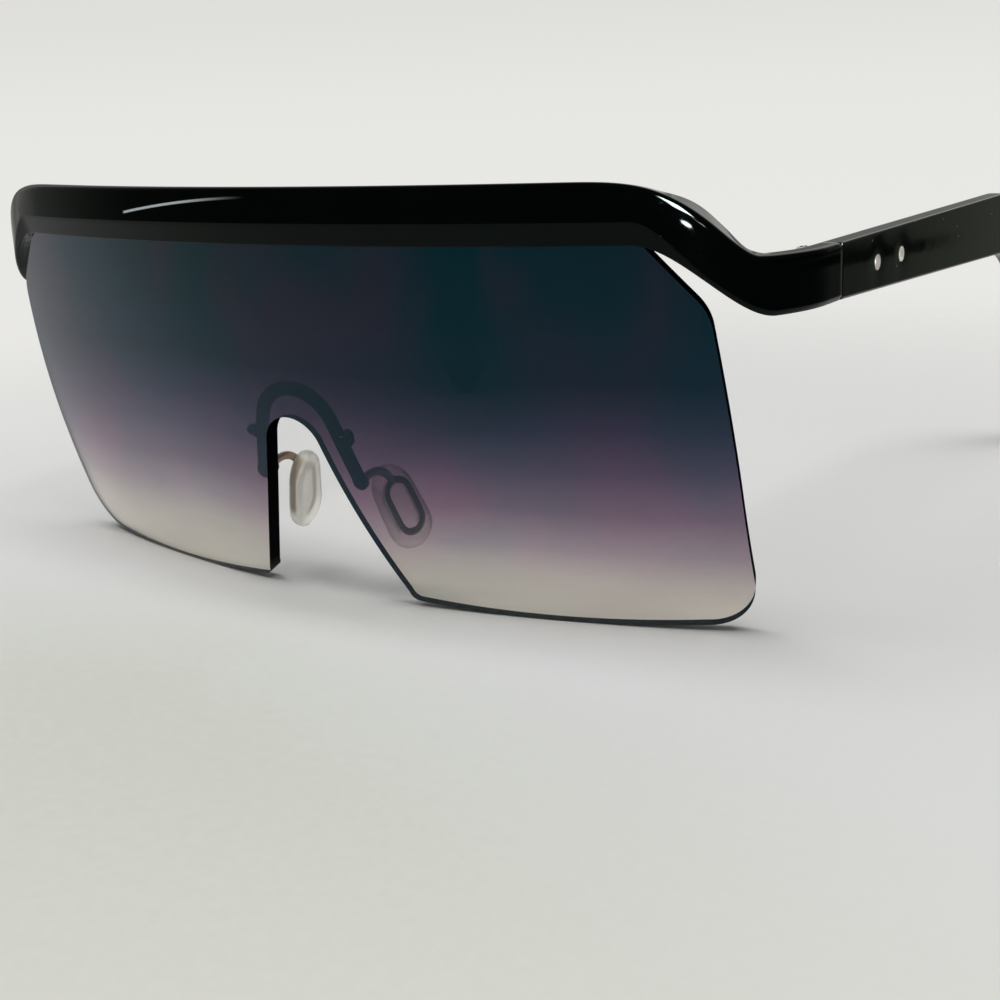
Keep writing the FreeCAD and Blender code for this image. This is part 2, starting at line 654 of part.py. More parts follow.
def make_pad_arm():
    """The left pad arm: its wire cut to sit on the bridge's foot, joined to the ring."""
    seat = ball("arm_seat", "Sizes.lens_radius - Sizes.lens_thickness - Sizes.bridge_gap"
                            " - Sizes.bridge_thickness - Sizes.fixing_play")
    wire = common("arm_wire_seated", arm_wire("arm_wire", S["arm_radius"]), seat)
    return fuse("pad_arm_left", wire, ring("pad_ring", 0.0))


def make_nose_pad():
    """The left nose pad: a rounded slab that is open on its outer side for the ring and the arm."""
    body = slab("pad_body", S["pad_length"], S["pad_width"], S["pad_thickness"],
                -S["ring_thickness"] / 2 - S["ring_play"])
    edge = min(S["pad_edge"], S["pad_thickness"] * 0.45)
    centre, down, across, face = pad_frame()
    soft = rounded("pad_soft", body, edge, lambda e: abs(e.tangentAt(e.FirstParameter).dot(face)) < 0.5)
    return cut("nose_pad_left", soft, ring("pad_ring_room", S["ring_play"]),
               arm_wire("pad_arm_room", S["arm_radius"] + S["ring_play"]))


# Hinges and temples

def knuckle(name, low, high):
    return cylinder(name, "Sizes.knuckle_radius", str(high - low), Vector(AXIS_X, AXIS_Y, low), UP)


def knuckle_levels():
    """Heights of the bottom, middle and top knuckles."""
    play = S["knuckle_play"]
    low = END_MIDDLE - S["middle_knuckle"] / 2
    high = END_MIDDLE + S["middle_knuckle"] / 2
    return (HINGE_LOW, low - play), (low, high), (high + play, HINGE_HIGH)


def leaf_screw_shafts(name, radius, length):
    """Shafts of the two screws of the left front leaf, or the holes for them when grown."""
    shafts = []
    for i in range(2):
        y = JOINT_Y - S["leaf_screw_start"] - i * S["leaf_screw_pitch"]
        base = Vector(INNER_X - S["leaf_thickness"], y, END_MIDDLE)
        shafts.append(cylinder("%s_%d" % (name, i + 1), radius, length, base, ACROSS))
    return shafts


def make_front_hinge():
    """The left front hinge: a leaf let into the bar's end, with the top and bottom knuckles."""
    bottom, middle, top = knuckle_levels()
    leaf_in = INNER_X - S["leaf_thickness"]
    clear_y = JOINT_Y - LEAF_FROM_AXIS
    pieces = [block("front_leaf", Vector(leaf_in, JOINT_Y - S["front_leaf_length"], HINGE_LOW),
                    Vector(INNER_X + S["front_leaf_inset"], clear_y, HINGE_HIGH))]
    for tag, (low, high) in (("bottom", bottom), ("top", top)):
        pieces.append(block("front_web_" + tag, Vector(AXIS_X, clear_y, low), Vector(INNER_X, JOINT_Y, high)))
        pieces.append(knuckle("front_knuckle_" + tag, low, high))
    body = fuse("front_hinge_body", *pieces)
    bore = cylinder("front_bore", "Sizes.pin_radius + Sizes.pin_play", "2 * Sizes.hinge_height",
                    Vector(AXIS_X, AXIS_Y, HINGE_LOW - S["hinge_height"] / 2), UP)
    holes = leaf_screw_shafts("front_leaf_hole", "Sizes.leaf_screw_radius + Sizes.fixing_play",
                              "Sizes.end_thickness")
    return cut("front_hinge_left", body, bore, *holes)


def make_leaf_screws():
    """The two small screws that hold the left front leaf in the bar's end."""
    shafts = leaf_screw_shafts("leaf_screw_shaft", "Sizes.leaf_screw_radius",
                               "Sizes.leaf_thickness + Sizes.leaf_screw_depth")
    screws = []
    for i, shaft in enumerate(shafts, 1):
        base = shaft.Placement.Base - ACROSS * S["screw_head_height"]
        head = cylinder("leaf_screw_head_%d" % i, "Sizes.screw_head_radius", "Sizes.screw_head_height",
                        base, ACROSS)
        screws.append(fuse("leaf_screw_%d" % i, shaft, head))
    return group("hinge_leaf_screws_left", *screws)


def make_temple_hinge():
    """The left temple hinge: a long riveted leaf with the middle knuckle."""
    bottom, (low, high), top = knuckle_levels()
    leaf_in = INNER_X - S["leaf_thickness"]
    clear_y = JOINT_Y + S["joint_gap"] + LEAF_FROM_AXIS
    end_y = JOINT_Y + S["temple_leaf_length"]
    leaf = block("temple_leaf", Vector(leaf_in, clear_y, END_MIDDLE - S["leaf_height"] / 2),
                 Vector(INNER_X, end_y, END_MIDDLE + S["leaf_height"] / 2))
    web = block("temple_web", Vector(AXIS_X, AXIS_Y, low), Vector(INNER_X, clear_y, high))
    body = fuse("temple_hinge_body", leaf, web, knuckle("temple_knuckle", low, high))
    bore = cylinder("temple_bore", "Sizes.pin_radius + Sizes.pin_play", "2 * Sizes.hinge_height",
                    Vector(AXIS_X, AXIS_Y, HINGE_LOW - S["hinge_height"] / 2), UP)
    return cut("temple_hinge_left", body, bore, *rivet_shafts("leaf_rivet_hole", S["fixing_play"]))


def make_hinge_screw():
    """The left hinge screw: a pin through the three knuckles with a head on top."""
    pin = cylinder("hinge_pin", "Sizes.pin_radius", "Sizes.hinge_height", Vector(AXIS_X, AXIS_Y, HINGE_LOW), UP)
    head = cylinder("hinge_pin_head", "Sizes.pin_head_radius", "Sizes.pin_head_height",
                    Vector(AXIS_X, AXIS_Y, HINGE_HIGH), UP)
    return fuse("hinge_screw_left", pin, head)


def rivet_shafts(name, play):
    """Shafts of the left temple's two rivets, through temple and leaf, or their holes when play is given."""
    shafts = []
    for i in range(2):
        y = JOINT_Y + S["rivet_start"] + i * S["rivet_pitch"]
        base = Vector(INNER_X - S["leaf_thickness"], y, END_MIDDLE)
        length = "Sizes.leaf_thickness + Sizes.end_thickness + Sizes.rivet_dome"
        shafts.append(cylinder("%s_%d" % (name, i + 1), "Sizes.rivet_radius + %s" % play, length, base, ACROSS))
    return shafts


def make_rivets():
    """The two rivets that hold the temple's hinge leaf, with heads on the leaf."""
    rivets = []
    for i, shaft in enumerate(rivet_shafts("rivet_shaft", 0.0), 1):
        base = shaft.Placement.Base - ACROSS * S["rivet_head_height"]
        head = cylinder("rivet_head_%d" % i, "Sizes.rivet_head_radius", "Sizes.rivet_head_height", base, ACROSS)
        rivets.append(fuse("rivet_%d" % i, shaft, head))
    return group("temple_rivets_left", *rivets)


def temple_outline():
    """The temple from the side: a straight part that grows, the ear bend and the ear piece to the table."""
    half = S["temple_height"] / 2
    start = JOINT_Y + S["joint_gap"]
    bend_y = start + S["temple_straight"]
    bend_z = END_MIDDLE - S["temple_fall"]
    fall = math.atan2(S["temple_fall"], S["temple_straight"])
    dip = math.radians(S["ear_angle"])
    centre = Vector(0, bend_y, bend_z) - Vector(0, math.sin(fall), math.cos(fall)) * S["ear_radius"]

    def spoke(angle, offset):
        """The point of the bend at an angle below level, offset outwards from the centre line."""
        return centre + Vector(0, math.sin(angle), math.cos(angle)) * (S["ear_radius"] + offset)

    along = Vector(0, math.cos(dip), -math.sin(dip))
    knee = spoke(dip, 0)
    tip = knee + along * ((knee.z - half) / math.sin(dip))
    across = Vector(0, math.sin(dip), math.cos(dip)) * half
    middle = (fall + dip) / 2
    top_front = Vector(0, start, END_TOP)
    low_front = Vector(0, start, END_BOTTOM)
    edges = [line(low_front, top_front), line(top_front, spoke(fall, half)),
             arc(spoke(fall, half), spoke(middle, half), spoke(dip, half)),
             line(spoke(dip, half), tip + across),
             arc(tip + across, tip + along * half, tip - across),
             line(tip - across, spoke(dip, -half)),
             arc(spoke(dip, -half), spoke(middle, -half), spoke(fall, -half)),
             line(spoke(fall, -half), low_front)]
    return closed(edges)


def make_temple():
    """The left temple: its side outline at the end's thickness, long edges rounded, with rivet holes."""
    outline = shape_object("temple_outline", temple_outline())
    outline.Placement.Base = Vector(INNER_X, 0, 0)
    plate = extrusion("temple_plate", outline, ACROSS, "Sizes.end_thickness")
    start = JOINT_Y + S["joint_gap"]
    edge = min(S["temple_edge"], S["end_thickness"] * 0.4)

    def long_edge(e):
        flat = abs(e.tangentAt(e.FirstParameter).x) < 0.5
        return flat and e.BoundBox.YMax > start + S["joint_gap"]
    soft = rounded("temple_soft", plate, edge, long_edge)
    return cut("temple_left", soft, *rivet_shafts("rivet_hole", S["fixing_play"]))


# The whole part

def build():
    """Makes every piece; the wearer's right side mirrors the left."""
    nodes = [make_bar(), make_lens(), make_lens_screws(), make_bridge(), make_bridge_pins()]
    for make in (make_pad_arm, make_nose_pad, make_front_hinge, make_leaf_screws, make_temple_hinge,
                 make_hinge_screw, make_rivets, make_temple):
        left = make()
        nodes.append(left)
        nodes.append(mirrored(left.Name.replace("_left", "_right"), left))
    doc.recompute()
    for node in nodes:
        node.Label = node.Name
    return nodes


def check(nodes):
    """Stops if any object of the document failed or any node is empty or broken."""
    for item in doc.Objects:
        if "Invalid" in item.State or "Error" in item.State:
            raise RuntimeError("%s failed: %s" % (item.Name, item.State))
    for node in nodes:
        if node.Shape.isNull() or not node.Shape.isValid() or not node.Shape.Solids:
            raise RuntimeError("%s has no sound solid" % node.Name)


def place(nodes):
    """Moves every node so that the origin is at the middle of the part's base."""
    box = FreeCAD.BoundBox()
    for node in nodes:
        box.add(node.Shape.optimalBoundingBox(False, False))
    shift = Vector(-box.Center.x, -box.Center.y, -box.ZMin)
    for node in nodes:
        node.Placement = FreeCAD.Placement(shift, FreeCAD.Rotation()).multiply(node.Placement)
    print("size %.2f x %.2f x %.2f mm, moved by %.3f back, %.3f up" % (box.XLength, box.YLength, box.ZLength,
                                                                       shift.y, shift.z))
    print("hinge axis at x %.3f, y %.3f" % (AXIS_X, AXIS_Y + shift.y))


def write(nodes):
    """Writes each node to its own file."""
    os.makedirs("parts", exist_ok=True)
    for node in nodes:
        node.Shape.exportStep("parts/%s.step" % node.Label)
        print("%-24s %d solid(s) %.2f mm3" % (node.Label, len(node.Shape.Solids), node.Shape.Volume))


pieces = build()
check(pieces)
place(pieces)
write(pieces)
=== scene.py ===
import math

import bmesh
import bpy
import numpy as np
from mathutils import Matrix, Vector


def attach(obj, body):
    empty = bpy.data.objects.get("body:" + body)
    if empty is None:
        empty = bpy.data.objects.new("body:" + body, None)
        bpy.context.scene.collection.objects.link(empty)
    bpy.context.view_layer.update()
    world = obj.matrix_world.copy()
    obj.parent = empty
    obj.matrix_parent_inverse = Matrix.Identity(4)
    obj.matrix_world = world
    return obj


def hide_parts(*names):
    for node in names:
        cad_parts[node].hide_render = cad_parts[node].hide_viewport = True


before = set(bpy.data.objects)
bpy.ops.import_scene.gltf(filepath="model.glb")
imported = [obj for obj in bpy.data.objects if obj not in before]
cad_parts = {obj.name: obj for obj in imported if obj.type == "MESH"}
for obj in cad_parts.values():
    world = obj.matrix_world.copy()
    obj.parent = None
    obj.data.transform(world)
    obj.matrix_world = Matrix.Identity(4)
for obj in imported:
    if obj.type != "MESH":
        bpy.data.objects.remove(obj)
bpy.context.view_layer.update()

# Sizes in millimetres, with y back from the lens's nose apex and z up from the floor, as in the part.
MM = 0.001
APEX_BACK = -76.607

LENS_RADIUS = 189.0
LENS_THICK = 2.6
LENS_LEAN = math.radians(12.27)
APEX_Z = 30.5
LENS_Y = LENS_RADIUS * math.cos(LENS_LEAN)
LENS_Z = APEX_Z + LENS_RADIUS * math.sin(LENS_LEAN)

BAR_LOW = 56.5
BAR_TOP = 64.7
BAR_DEPTH = 5.4
BAR_STANDOFF = 1.5
GROOVE_DEEP = 2.6
GROOVE_PLAY = 0.05
GROOVE_TOP = BAR_LOW + GROOVE_DEEP
LENS_TOP = GROOVE_TOP - LENS_THICK * (LENS_Z - GROOVE_TOP) / LENS_RADIUS - GROOVE_PLAY
GROOVE_MIDDLE = BAR_LOW + GROOVE_DEEP / 2
BAR_RADIUS = math.sqrt(LENS_RADIUS ** 2 - (GROOVE_MIDDLE - LENS_Z) ** 2) + BAR_STANDOFF
BEND_START = 58.65
BEND_RADIUS = 23.04
BEND_FROM = math.asin(BEND_START / BAR_RADIUS)
BEND_X = BEND_START - BEND_RADIUS * math.sin(BEND_FROM)
BEND_Y = LENS_Y - (BAR_RADIUS - BEND_RADIUS) * math.cos(BEND_FROM)
FRONT_RUN = BAR_RADIUS * BEND_FROM
BEND_RUN = BEND_RADIUS * (math.pi / 2 - BEND_FROM)
END_RUN = 4.8

# The fall of the bar's ends, by the run past the front arc.
DROP_START = -2.2
DROP_RUN = 20.0
TOP_DROP_START = -13.8
TOP_DROP_RUN = 29.6
TOP_DROP_DELAY = 2.2
TOP_SLOPE = 0.5
END_DROP = 10.25
END_HIGH = 7.8
END_THICK = 3.6
OUTER_X = BEND_X + BEND_RADIUS
INNER_X = OUTER_X - END_THICK
JOINT_Y = BEND_Y + END_RUN
JOINT_GAP = 0.15
JOINT_RIM = 0.16
RIM_HALF_HIGH = 3.8
END_TOP = BAR_TOP - END_DROP
END_LOW = END_TOP - END_HIGH
END_MIDDLE = (END_TOP + END_LOW) / 2

# How far the bar's top and underside lean outwards round the bend.
ROLL_RUN = 10.0
ROLL_END = 11.5
ROLL_END_RUN = 7.0
ROLL_SINK = 0.3
ROLL_LIFT = 2.4
ROLL_UNDER = 1.4

# The bar's section: each pair is the value on the front and past the bend.
BEVEL_FADE = -2.0
BEVEL_FADE_RUN = 10.0
BEVEL_DEEP = (0.8, 0.35)
BEVEL_HIGH = (2.8, 0.4)
BAR_CROWN = (0.22, 0.06)
CREASE_SHARE = 0.5
CREASE_RISE = 0.24
SLOT_END = 56.0
SLOT_END_RUN = 2.4
SLOT_LEAST = 0.004
SLOT_SPARE = 0.12
SLOT_WALL = 0.5

# The outline of the lens's left half from the front, as x and z.
NOSE_NECK = (5.1, 26.8)
NOSE_FOOT = (14.2, 2.4)
NOSE_TURN = (14.68, 1.35)
NOSE_CORNER = (15.8, 0.9)
NOSE_BOW = -0.45
BOTTOM_MIDDLE = (38.0, 0.0)
CORNER_IN = (59.4, 0.9)
CORNER_OUT = (66.9, 8.4)
CORNER_RADIUS = 7.5
WIDEST = (66.9, 22.0)
SIDE_BOW = -0.3
SHOULDER = (65.3, 47.5)
SHOULDER_RUN = 2.5
BAR_POINT = (57.4, BAR_LOW)

TEMPLE_RUN = 80.0
TEMPLE_HIGH = 10.6
TEMPLE_FALL = 1.3
TEMPLE_EDGE = 0.8
TEMPLE_CROWN = 0.07
EAR_RADIUS = 28.0
EAR_ANGLE = math.radians(58.0)
RIVET_Y = (JOINT_Y + 14.2, JOINT_Y + 24.6)
RIVET_RADIUS = 1.13
RIVET_Z = END_MIDDLE - 0.4
DENT_DEEP = 0.06
DENT_WIDE = 1.7

LEAF_THICK = 0.9
LEAF_SCREW_REACH = 1.5
LEAF_SCREW_FIRST = 3.9
LEAF_SCREW_STEP = 3.4
HINGE_HIGH = 5.4
HINGE_PIN_IN = 1.9
SCREW_HEAD = 1.0
SCREW_HEAD_HIGH = 0.5
SCREW_RECESS = 0.2
SCREW_SHANK = 0.6
SCREW_PLAY = 0.03
LENS_SCREW_HALF = 48.0
LENS_SCREW_REACH = 1.9
PIN_HEAD = 0.8925
PIN_HEAD_HIGH = 0.35
PIN_REACH = 1.5

BRIDGE_GAP = 0.3
BRIDGE_THICK = 1.2
BRIDGE_WIDE = 2.2
BRIDGE_RISE = 4.5
BRIDGE_RADIUS = 7.0
FOOT_HALF = 9.4
FOOT_DROP = 9.7
FOOT_RADIUS = 1.3
EAR_HALF = 8.8
EAR_DROP = 3.0
EAR_ROUND = 1.1
BRIDGE_MIDDLE = LENS_THICK + BRIDGE_GAP + BRIDGE_THICK / 2
BRIDGE_BACK = LENS_THICK + BRIDGE_GAP + BRIDGE_THICK

PAD_CENTRE = np.array([10.8, 14.5, APEX_Z - 15.4])
PAD_SPLAY = math.radians(16.7)
PAD_RAKE = math.radians(16.0)
PAD_TURN = math.radians(10.0)
PAD_LONG = 14.0
PAD_TAPER = 0.11
PAD_RIM_START = 10.0
PAD_RIM_RUN = 3.5
RING_LONG = 9.8
RING_WIDE = 5.6
RING_BAND = 1.1
RING_THICK = 1.0
ARM_RADIUS = 0.65
ARM_FLAT = 0.8
ARM_ARCH = 1.6
ARM_SINK = 0.45

# Length, width and height of the pad's rings, from its outer side to its face.
PAD_RINGS = np.array([
    (4.6, 0.0, -0.45), (6.2, 1.8, -0.46), (7.35, 3.15, -0.5), (7.45, 3.25, -0.42), (7.47, 3.27, 0.46),
    (7.6, 3.4, 0.55), (9.8, 5.6, 0.55), (9.9, 5.7, 0.46), (9.92, 5.72, -0.4), (10.05, 5.85, -0.5),
    (11.4, 6.6, -0.55), (12.6, 7.3, -0.5), (13.3, 7.8, -0.25), (13.75, 8.15, 0.15), (13.95, 8.35, 0.6),
    (14.0, 8.4, 0.95), (13.9, 8.3, 1.3), (13.5, 7.95, 1.65), (12.8, 7.3, 1.9), (11.6, 6.2, 2.06),
    (9.8, 4.4, 2.17), (8.0, 2.4, 2.23), (6.2, 0.0, 2.25)])

# Angles in degrees above which an edge shows as sharp.
USUAL_SHARP = 38.0
LENS_SHARP = 30.0
PAD_SHARP = 60.0


# Mesh making

def placed(points):
    """Points in metres in the part's frame, from millimetres about the nose apex."""
    return (np.asarray(points, float) + (0.0, APEX_BACK, 0.0)) * MM


def quads(rows, columns, wrap, first=0):
    """Vertex numbers of the faces between a grid's neighbours; wrap joins its last column to its first."""
    number = first + np.arange(rows * columns).reshape(rows, columns)
    if wrap:
        number = np.concatenate([number, number[:, :1]], axis=1)
    around = [number[:-1, :-1], number[1:, :-1], number[1:, 1:], number[:-1, 1:]]
    return np.stack(around, axis=-1).reshape(-1, 4)


def tube_shell(grid, caps=True):
    """Points and faces of a skin over grid[i, j]: rings i along a path, j round the ring, flat ends."""
    rows, columns = grid.shape[:2]
    faces = quads(rows, columns, True).tolist()
    if caps:
        faces.append(list(range(columns)))
        faces.append(list(range((rows - 1) * columns, rows * columns)))
    return grid.reshape(-1, 3), faces


def make_piece(name, shells, materials, body, nodes, sharp=USUAL_SHARP):
    """One object from skins in millimetres: doubles merged, faces outwards, smooth but for sharp edges.

    A shell is (points, faces) or (points, faces, material number of each face).
    """
    points, faces, slots = [], [], []
    for shell in shells:
        first = sum(len(p) for p in points)
        points.append(shell[0])
        faces.extend([[first + v for v in face] for face in shell[1]])
        slots.extend(shell[2] if len(shell) > 2 else [0] * len(shell[1]))
    mesh = bpy.data.meshes.new(name)
    mesh.from_pydata(placed(np.concatenate(points)).tolist(), [], faces)
    mesh.polygons.foreach_set("material_index", np.array(slots, np.int32))
    work = bmesh.new()
    work.from_mesh(mesh)
    bmesh.ops.remove_doubles(work, verts=work.verts, dist=1e-6)
    bmesh.ops.dissolve_degenerate(work, edges=work.edges, dist=1e-7)
    bmesh.ops.recalc_face_normals(work, faces=work.faces)
    work.to_mesh(mesh)
    work.free()
    mesh.polygons.foreach_set("use_smooth", np.ones(len(mesh.polygons), bool))
    mesh.set_sharp_from_angle(angle=math.radians(sharp))
    for material in materials:
        mesh.materials.append(material)
    piece = bpy.data.objects.new(name, mesh)
    bpy.context.scene.collection.objects.link(piece)
    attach(piece, body)
    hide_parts(*nodes)


def flipped(shells):
    """The same skins on the wearer's other side."""
    return [(s[0] * (-1.0, 1.0, 1.0),) + tuple(s[1:]) for s in shells]


def smooth(share):
    """A smooth step from 0 to 1."""
    share = np.clip(share, 0.0, 1.0)
    return share * share * (3 - 2 * share)


def between(pair, share):
    """A value carried from the first of a pair to the second."""
    return pair[0] * (1 - share) + pair[1] * share


def full_turn(count):
    """Angles spread evenly round a circle."""
    return np.linspace(0, 2 * math.pi, count, endpoint=False)


def unit(v):
    """Directions of length 1."""
    return v / np.linalg.norm(v, axis=-1, keepdims=True)


def arc_through(a, middle, b, count):
    """Points of the circle's arc from a through middle to b in a plane, evenly spaced."""
    a, middle, b = (np.asarray(p, float) for p in (a, middle, b))
    m = 2 * np.array([middle - a, b - a])
    right = np.array([middle @ middle - a @ a, b @ b - a @ a])
    centre = np.linalg.solve(m, right)
    start, mid, end = (math.atan2(*(p - centre)[::-1]) for p in (a, middle, b))
    sweep = (end - start) % (2 * math.pi)
    if (mid - start) % (2 * math.pi) > sweep:
        sweep -= 2 * math.pi
    turn = start + sweep * np.linspace(0, 1, count)
    return centre + np.linalg.norm(a - centre) * np.stack([np.cos(turn), np.sin(turn)], axis=-1)


def bowed_line(a, b, bow, count):
    """An arc from a to b whose middle stands bow to the left of the straight line."""
    a, b = np.asarray(a, float), np.asarray(b, float)
    run = b - a
    side = np.array([-run[1], run[0]]) / np.linalg.norm(run)
    return arc_through(a, (a + b) / 2 + side * bow, b, count)


def chain(*runs):
    """Runs of points joined end to end, without the repeated joints."""
    return np.concatenate([runs[0]] + [run[1:] for run in runs[1:]])


def rounded_ring(corners, reach, count=6):
    """A ring with every corner replaced by a parabola that touches both sides at reach from the corner.

    corners has the shape (stations, corners, 2) and reach (stations, corners). One more point lies on each
    side just outside the rounding, so that the flat between two corners shades flat.
    """
    corner = corners[:, :, None]
    before = unit(np.roll(corners, 1, axis=1) - corners)[:, :, None]
    after = unit(np.roll(corners, -1, axis=1) - corners)[:, :, None]
    q = np.linspace(0, 1, count)[None, None, :, None]
    t = reach[:, :, None, None]
    outside = 1.2 * t
    ring = corner + t * ((1 - q) ** 2 * before + q ** 2 * after)
    ring = np.concatenate([corner + outside * before, ring, corner + outside * after], axis=2)
    return ring.reshape(len(corners), -1, 2)


def round_corner(before, corner, after, run, count):
    """Points of the arc that rounds a corner in a plane and takes run from each side."""
    before, corner, after = (np.asarray(p, float) for p in (before, corner, after))
    start, end = corner + run * unit(before - corner), corner + run * unit(after - corner)
    chord = (start + end) / 2
    half_turn = np.linalg.norm(end - start) / (2 * run)
    return arc_through(start, chord + (corner - chord) * half_turn / (1 + half_turn), end, count)


def superellipse(half_a, half_b, power, count):
    """A rounded box section: |a / half_a| ^ power + |b / half_b| ^ power = 1."""
    turn = full_turn(count)
    c, s = np.cos(turn), np.sin(turn)
    return np.stack([half_a * np.sign(c) * np.abs(c) ** (2 / power),
                     half_b * np.sign(s) * np.abs(s) ** (2 / power)], axis=-1)


def swept(path, section, first, second):
    """A section carried along a path: its two measures go along two directions given at every station."""
    return path[:, None] + section[None, :, :1] * first[:, None] + section[None, :, 1:] * second[:, None]


def on_sphere(x, z, depth=0.0):
    """The point at a front-view place on the sphere that lies depth inside the lens's front."""
    r = LENS_RADIUS - depth
    y = LENS_Y - np.sqrt(r * r - np.square(x) - np.square(np.asarray(z) - LENS_Z))
    return np.stack(np.broadcast_arrays(x, y, z), axis=-1).astype(float)


def inward(point):
    """The direction from a point of the lens towards its centre of curvature."""
    return unit(np.array([0.0, LENS_Y, LENS_Z]) - point)


def across_way(way):
    """Two directions square to a way and to each other."""
    side = unit(np.cross(way, (0.3, 0.5, 1.0)))
    return side, np.cross(way, side)


def lathe(centre, way, radii, heights, round_count):
    """A turned skin: each (radius, height) pair swept round the way through a centre."""
    way = unit(np.asarray(way, float))
    side, other = across_way(way)
    turn = full_turn(round_count)[None, :, None]
    rim = np.cos(turn) * side + np.sin(turn) * other
    up, out = np.asarray(heights)[:, None, None], np.asarray(radii)[:, None, None]
    return tube_shell(centre + up * way + out * rim)


def boss(centre, way, radius, half_high):
    """A rounded disc about a point: a superellipse of radius and half height turned round the way."""
    power = 4.0
    turn = np.linspace(-math.pi / 2, math.pi / 2, 19)
    r = radius * np.abs(np.cos(turn)) ** (2 / power)
    h = half_high * np.sign(np.sin(turn)) * np.abs(np.sin(turn)) ** (2 / power)
    return lathe(centre, way, r, h, 40)


def screw_shell(tip, way, shank, shank_long, head, head_high, recess=0.0):
    """A small screw: a turned shank and a domed head whose top is lowered by a cross-shaped recess.

    recess depth = recess * narrow(a) * short(b) on either of two square directions, the larger of both.
    """
    way = unit(np.asarray(way, float))
    side, other = across_way(way)
    lip, edge, dome_edge = 0.08, 0.12, 0.14
    edge_share = 0.62
    ease = np.linspace(0, math.pi / 2, 6)
    dome = np.linspace(1, 0, 22)
    radii = np.concatenate([[0.0, 0.8 * shank, shank, shank, head - lip], head - edge * (1 - np.cos(ease)),
                            np.linspace(head - dome_edge, 0.0, len(dome))])
    level = np.concatenate([[0.0, 0.0, 0.2 * shank, shank_long, shank_long],
                            shank_long + lip + (head_high * edge_share - lip) * np.sin(ease),
                            shank_long + head_high * (1 - 0.36 * dome ** 2)])
    turn = full_turn(48)[None, :]
    a, b = radii[:, None] * np.cos(turn), radii[:, None] * np.sin(turn)
    wide, long = 0.2 * head, 0.62 * head

    def arm(p, q):
        narrow = 1 - smooth((np.abs(p) - wide * 0.6) / (wide * 0.5))
        short = 1 - smooth((np.abs(q) - long * 0.7) / (long * 0.3))
        return narrow * short
    on_dome = np.arange(len(radii)) >= len(radii) - len(dome)
    sunk = recess * np.maximum(arm(a, b), arm(b, a)) * on_dome[:, None]
    grid = tip + (level[:, None] - sunk)[..., None] * way + a[..., None] * side + b[..., None] * other
    return tube_shell(grid, caps=False)


# Pieces of the front

def lens_sheet():
    """The lens: x = bottom(u).x * side(v) / side(0), z = (1 - v) * bottom(u).z + v * top, on two spheres.

    bottom(u) runs along the bottom edge and over the nose cut-out, and side(v) is the half width by height.
    The front and back faces are joined along the outline by a cut edge that is square to them.
    """
    corner_cut = CORNER_RADIUS * (1 - math.sqrt(0.5))
    corner_middle = (CORNER_OUT[0] - corner_cut, CORNER_IN[1] + corner_cut)
    slope = (BAR_POINT[0] - SHOULDER[0]) / (BAR_POINT[1] - SHOULDER[1])
    top = (BAR_POINT[0] + slope * (LENS_TOP - BAR_LOW), LENS_TOP)
    turn = round_corner(WIDEST, SHOULDER, top, SHOULDER_RUN, 13)
    apex_arc = arc_through((-NOSE_NECK[0], NOSE_NECK[1]), (0.0, APEX_Z), NOSE_NECK, 33)[16:]
    corner_arc = arc_through(CORNER_IN, corner_middle, CORNER_OUT, 23)
    half = chain(apex_arc, bowed_line(NOSE_NECK, NOSE_FOOT, NOSE_BOW, 42),
                 arc_through(NOSE_FOOT, NOSE_TURN, NOSE_CORNER, 9),
                 arc_through(NOSE_CORNER, BOTTOM_MIDDLE, CORNER_IN, 72), corner_arc[:12])
    side = chain(corner_arc[11:], np.linspace(CORNER_OUT, WIDEST, 10),
                 bowed_line(WIDEST, turn[0], SIDE_BOW, 34), turn, np.linspace(turn[-1], top, 22))
    bottom = np.concatenate([(half * (-1, 1))[:0:-1], half])
    v = ((side[:, 1] - side[0, 1]) / (LENS_TOP - side[0, 1]))[:, None]
    x = bottom[None, :, 0] * side[:, :1] / side[0, 0]
    z = (1 - v) * bottom[None, :, 1] + v * LENS_TOP
    rows, columns = x.shape
    front = on_sphere(x, z)
    back = front + LENS_THICK * inward(front)
    count = rows * columns
    number = np.arange(count).reshape(rows, columns)
    rim = np.concatenate([number[0], number[1:, -1], number[-1, -2::-1], number[-2:0:-1, 0]])
    after = np.roll(rim, -1)
    edge = np.stack([rim, after, after + count, rim + count], axis=-1)
    faces = np.concatenate([quads(rows, columns, False), quads(rows, columns, False, count), edge])
    kind = [0] * (len(faces) - len(edge)) + [1] * len(edge)
    return [(np.concatenate([front.reshape(-1, 3), back.reshape(-1, 3)]), faces.tolist(), kind)]


def bar_plan(along):
    """Place and heading on the bar's outer face in plan: a wide front arc, a tight bend, a straight end."""
    on_front = along <= FRONT_RUN
    turn = np.where(on_front, along / BAR_RADIUS, BEND_FROM + (along - FRONT_RUN) / BEND_RADIUS)
    turn = np.minimum(turn, math.pi / 2)
    past = np.maximum(along - FRONT_RUN - BEND_RUN, 0.0)
    x = np.where(on_front, BAR_RADIUS * np.sin(turn), BEND_X + BEND_RADIUS * np.sin(turn))
    y = np.where(on_front, LENS_Y - BAR_RADIUS * np.cos(turn), BEND_Y - BEND_RADIUS * np.cos(turn) + past)
    return x, y, turn


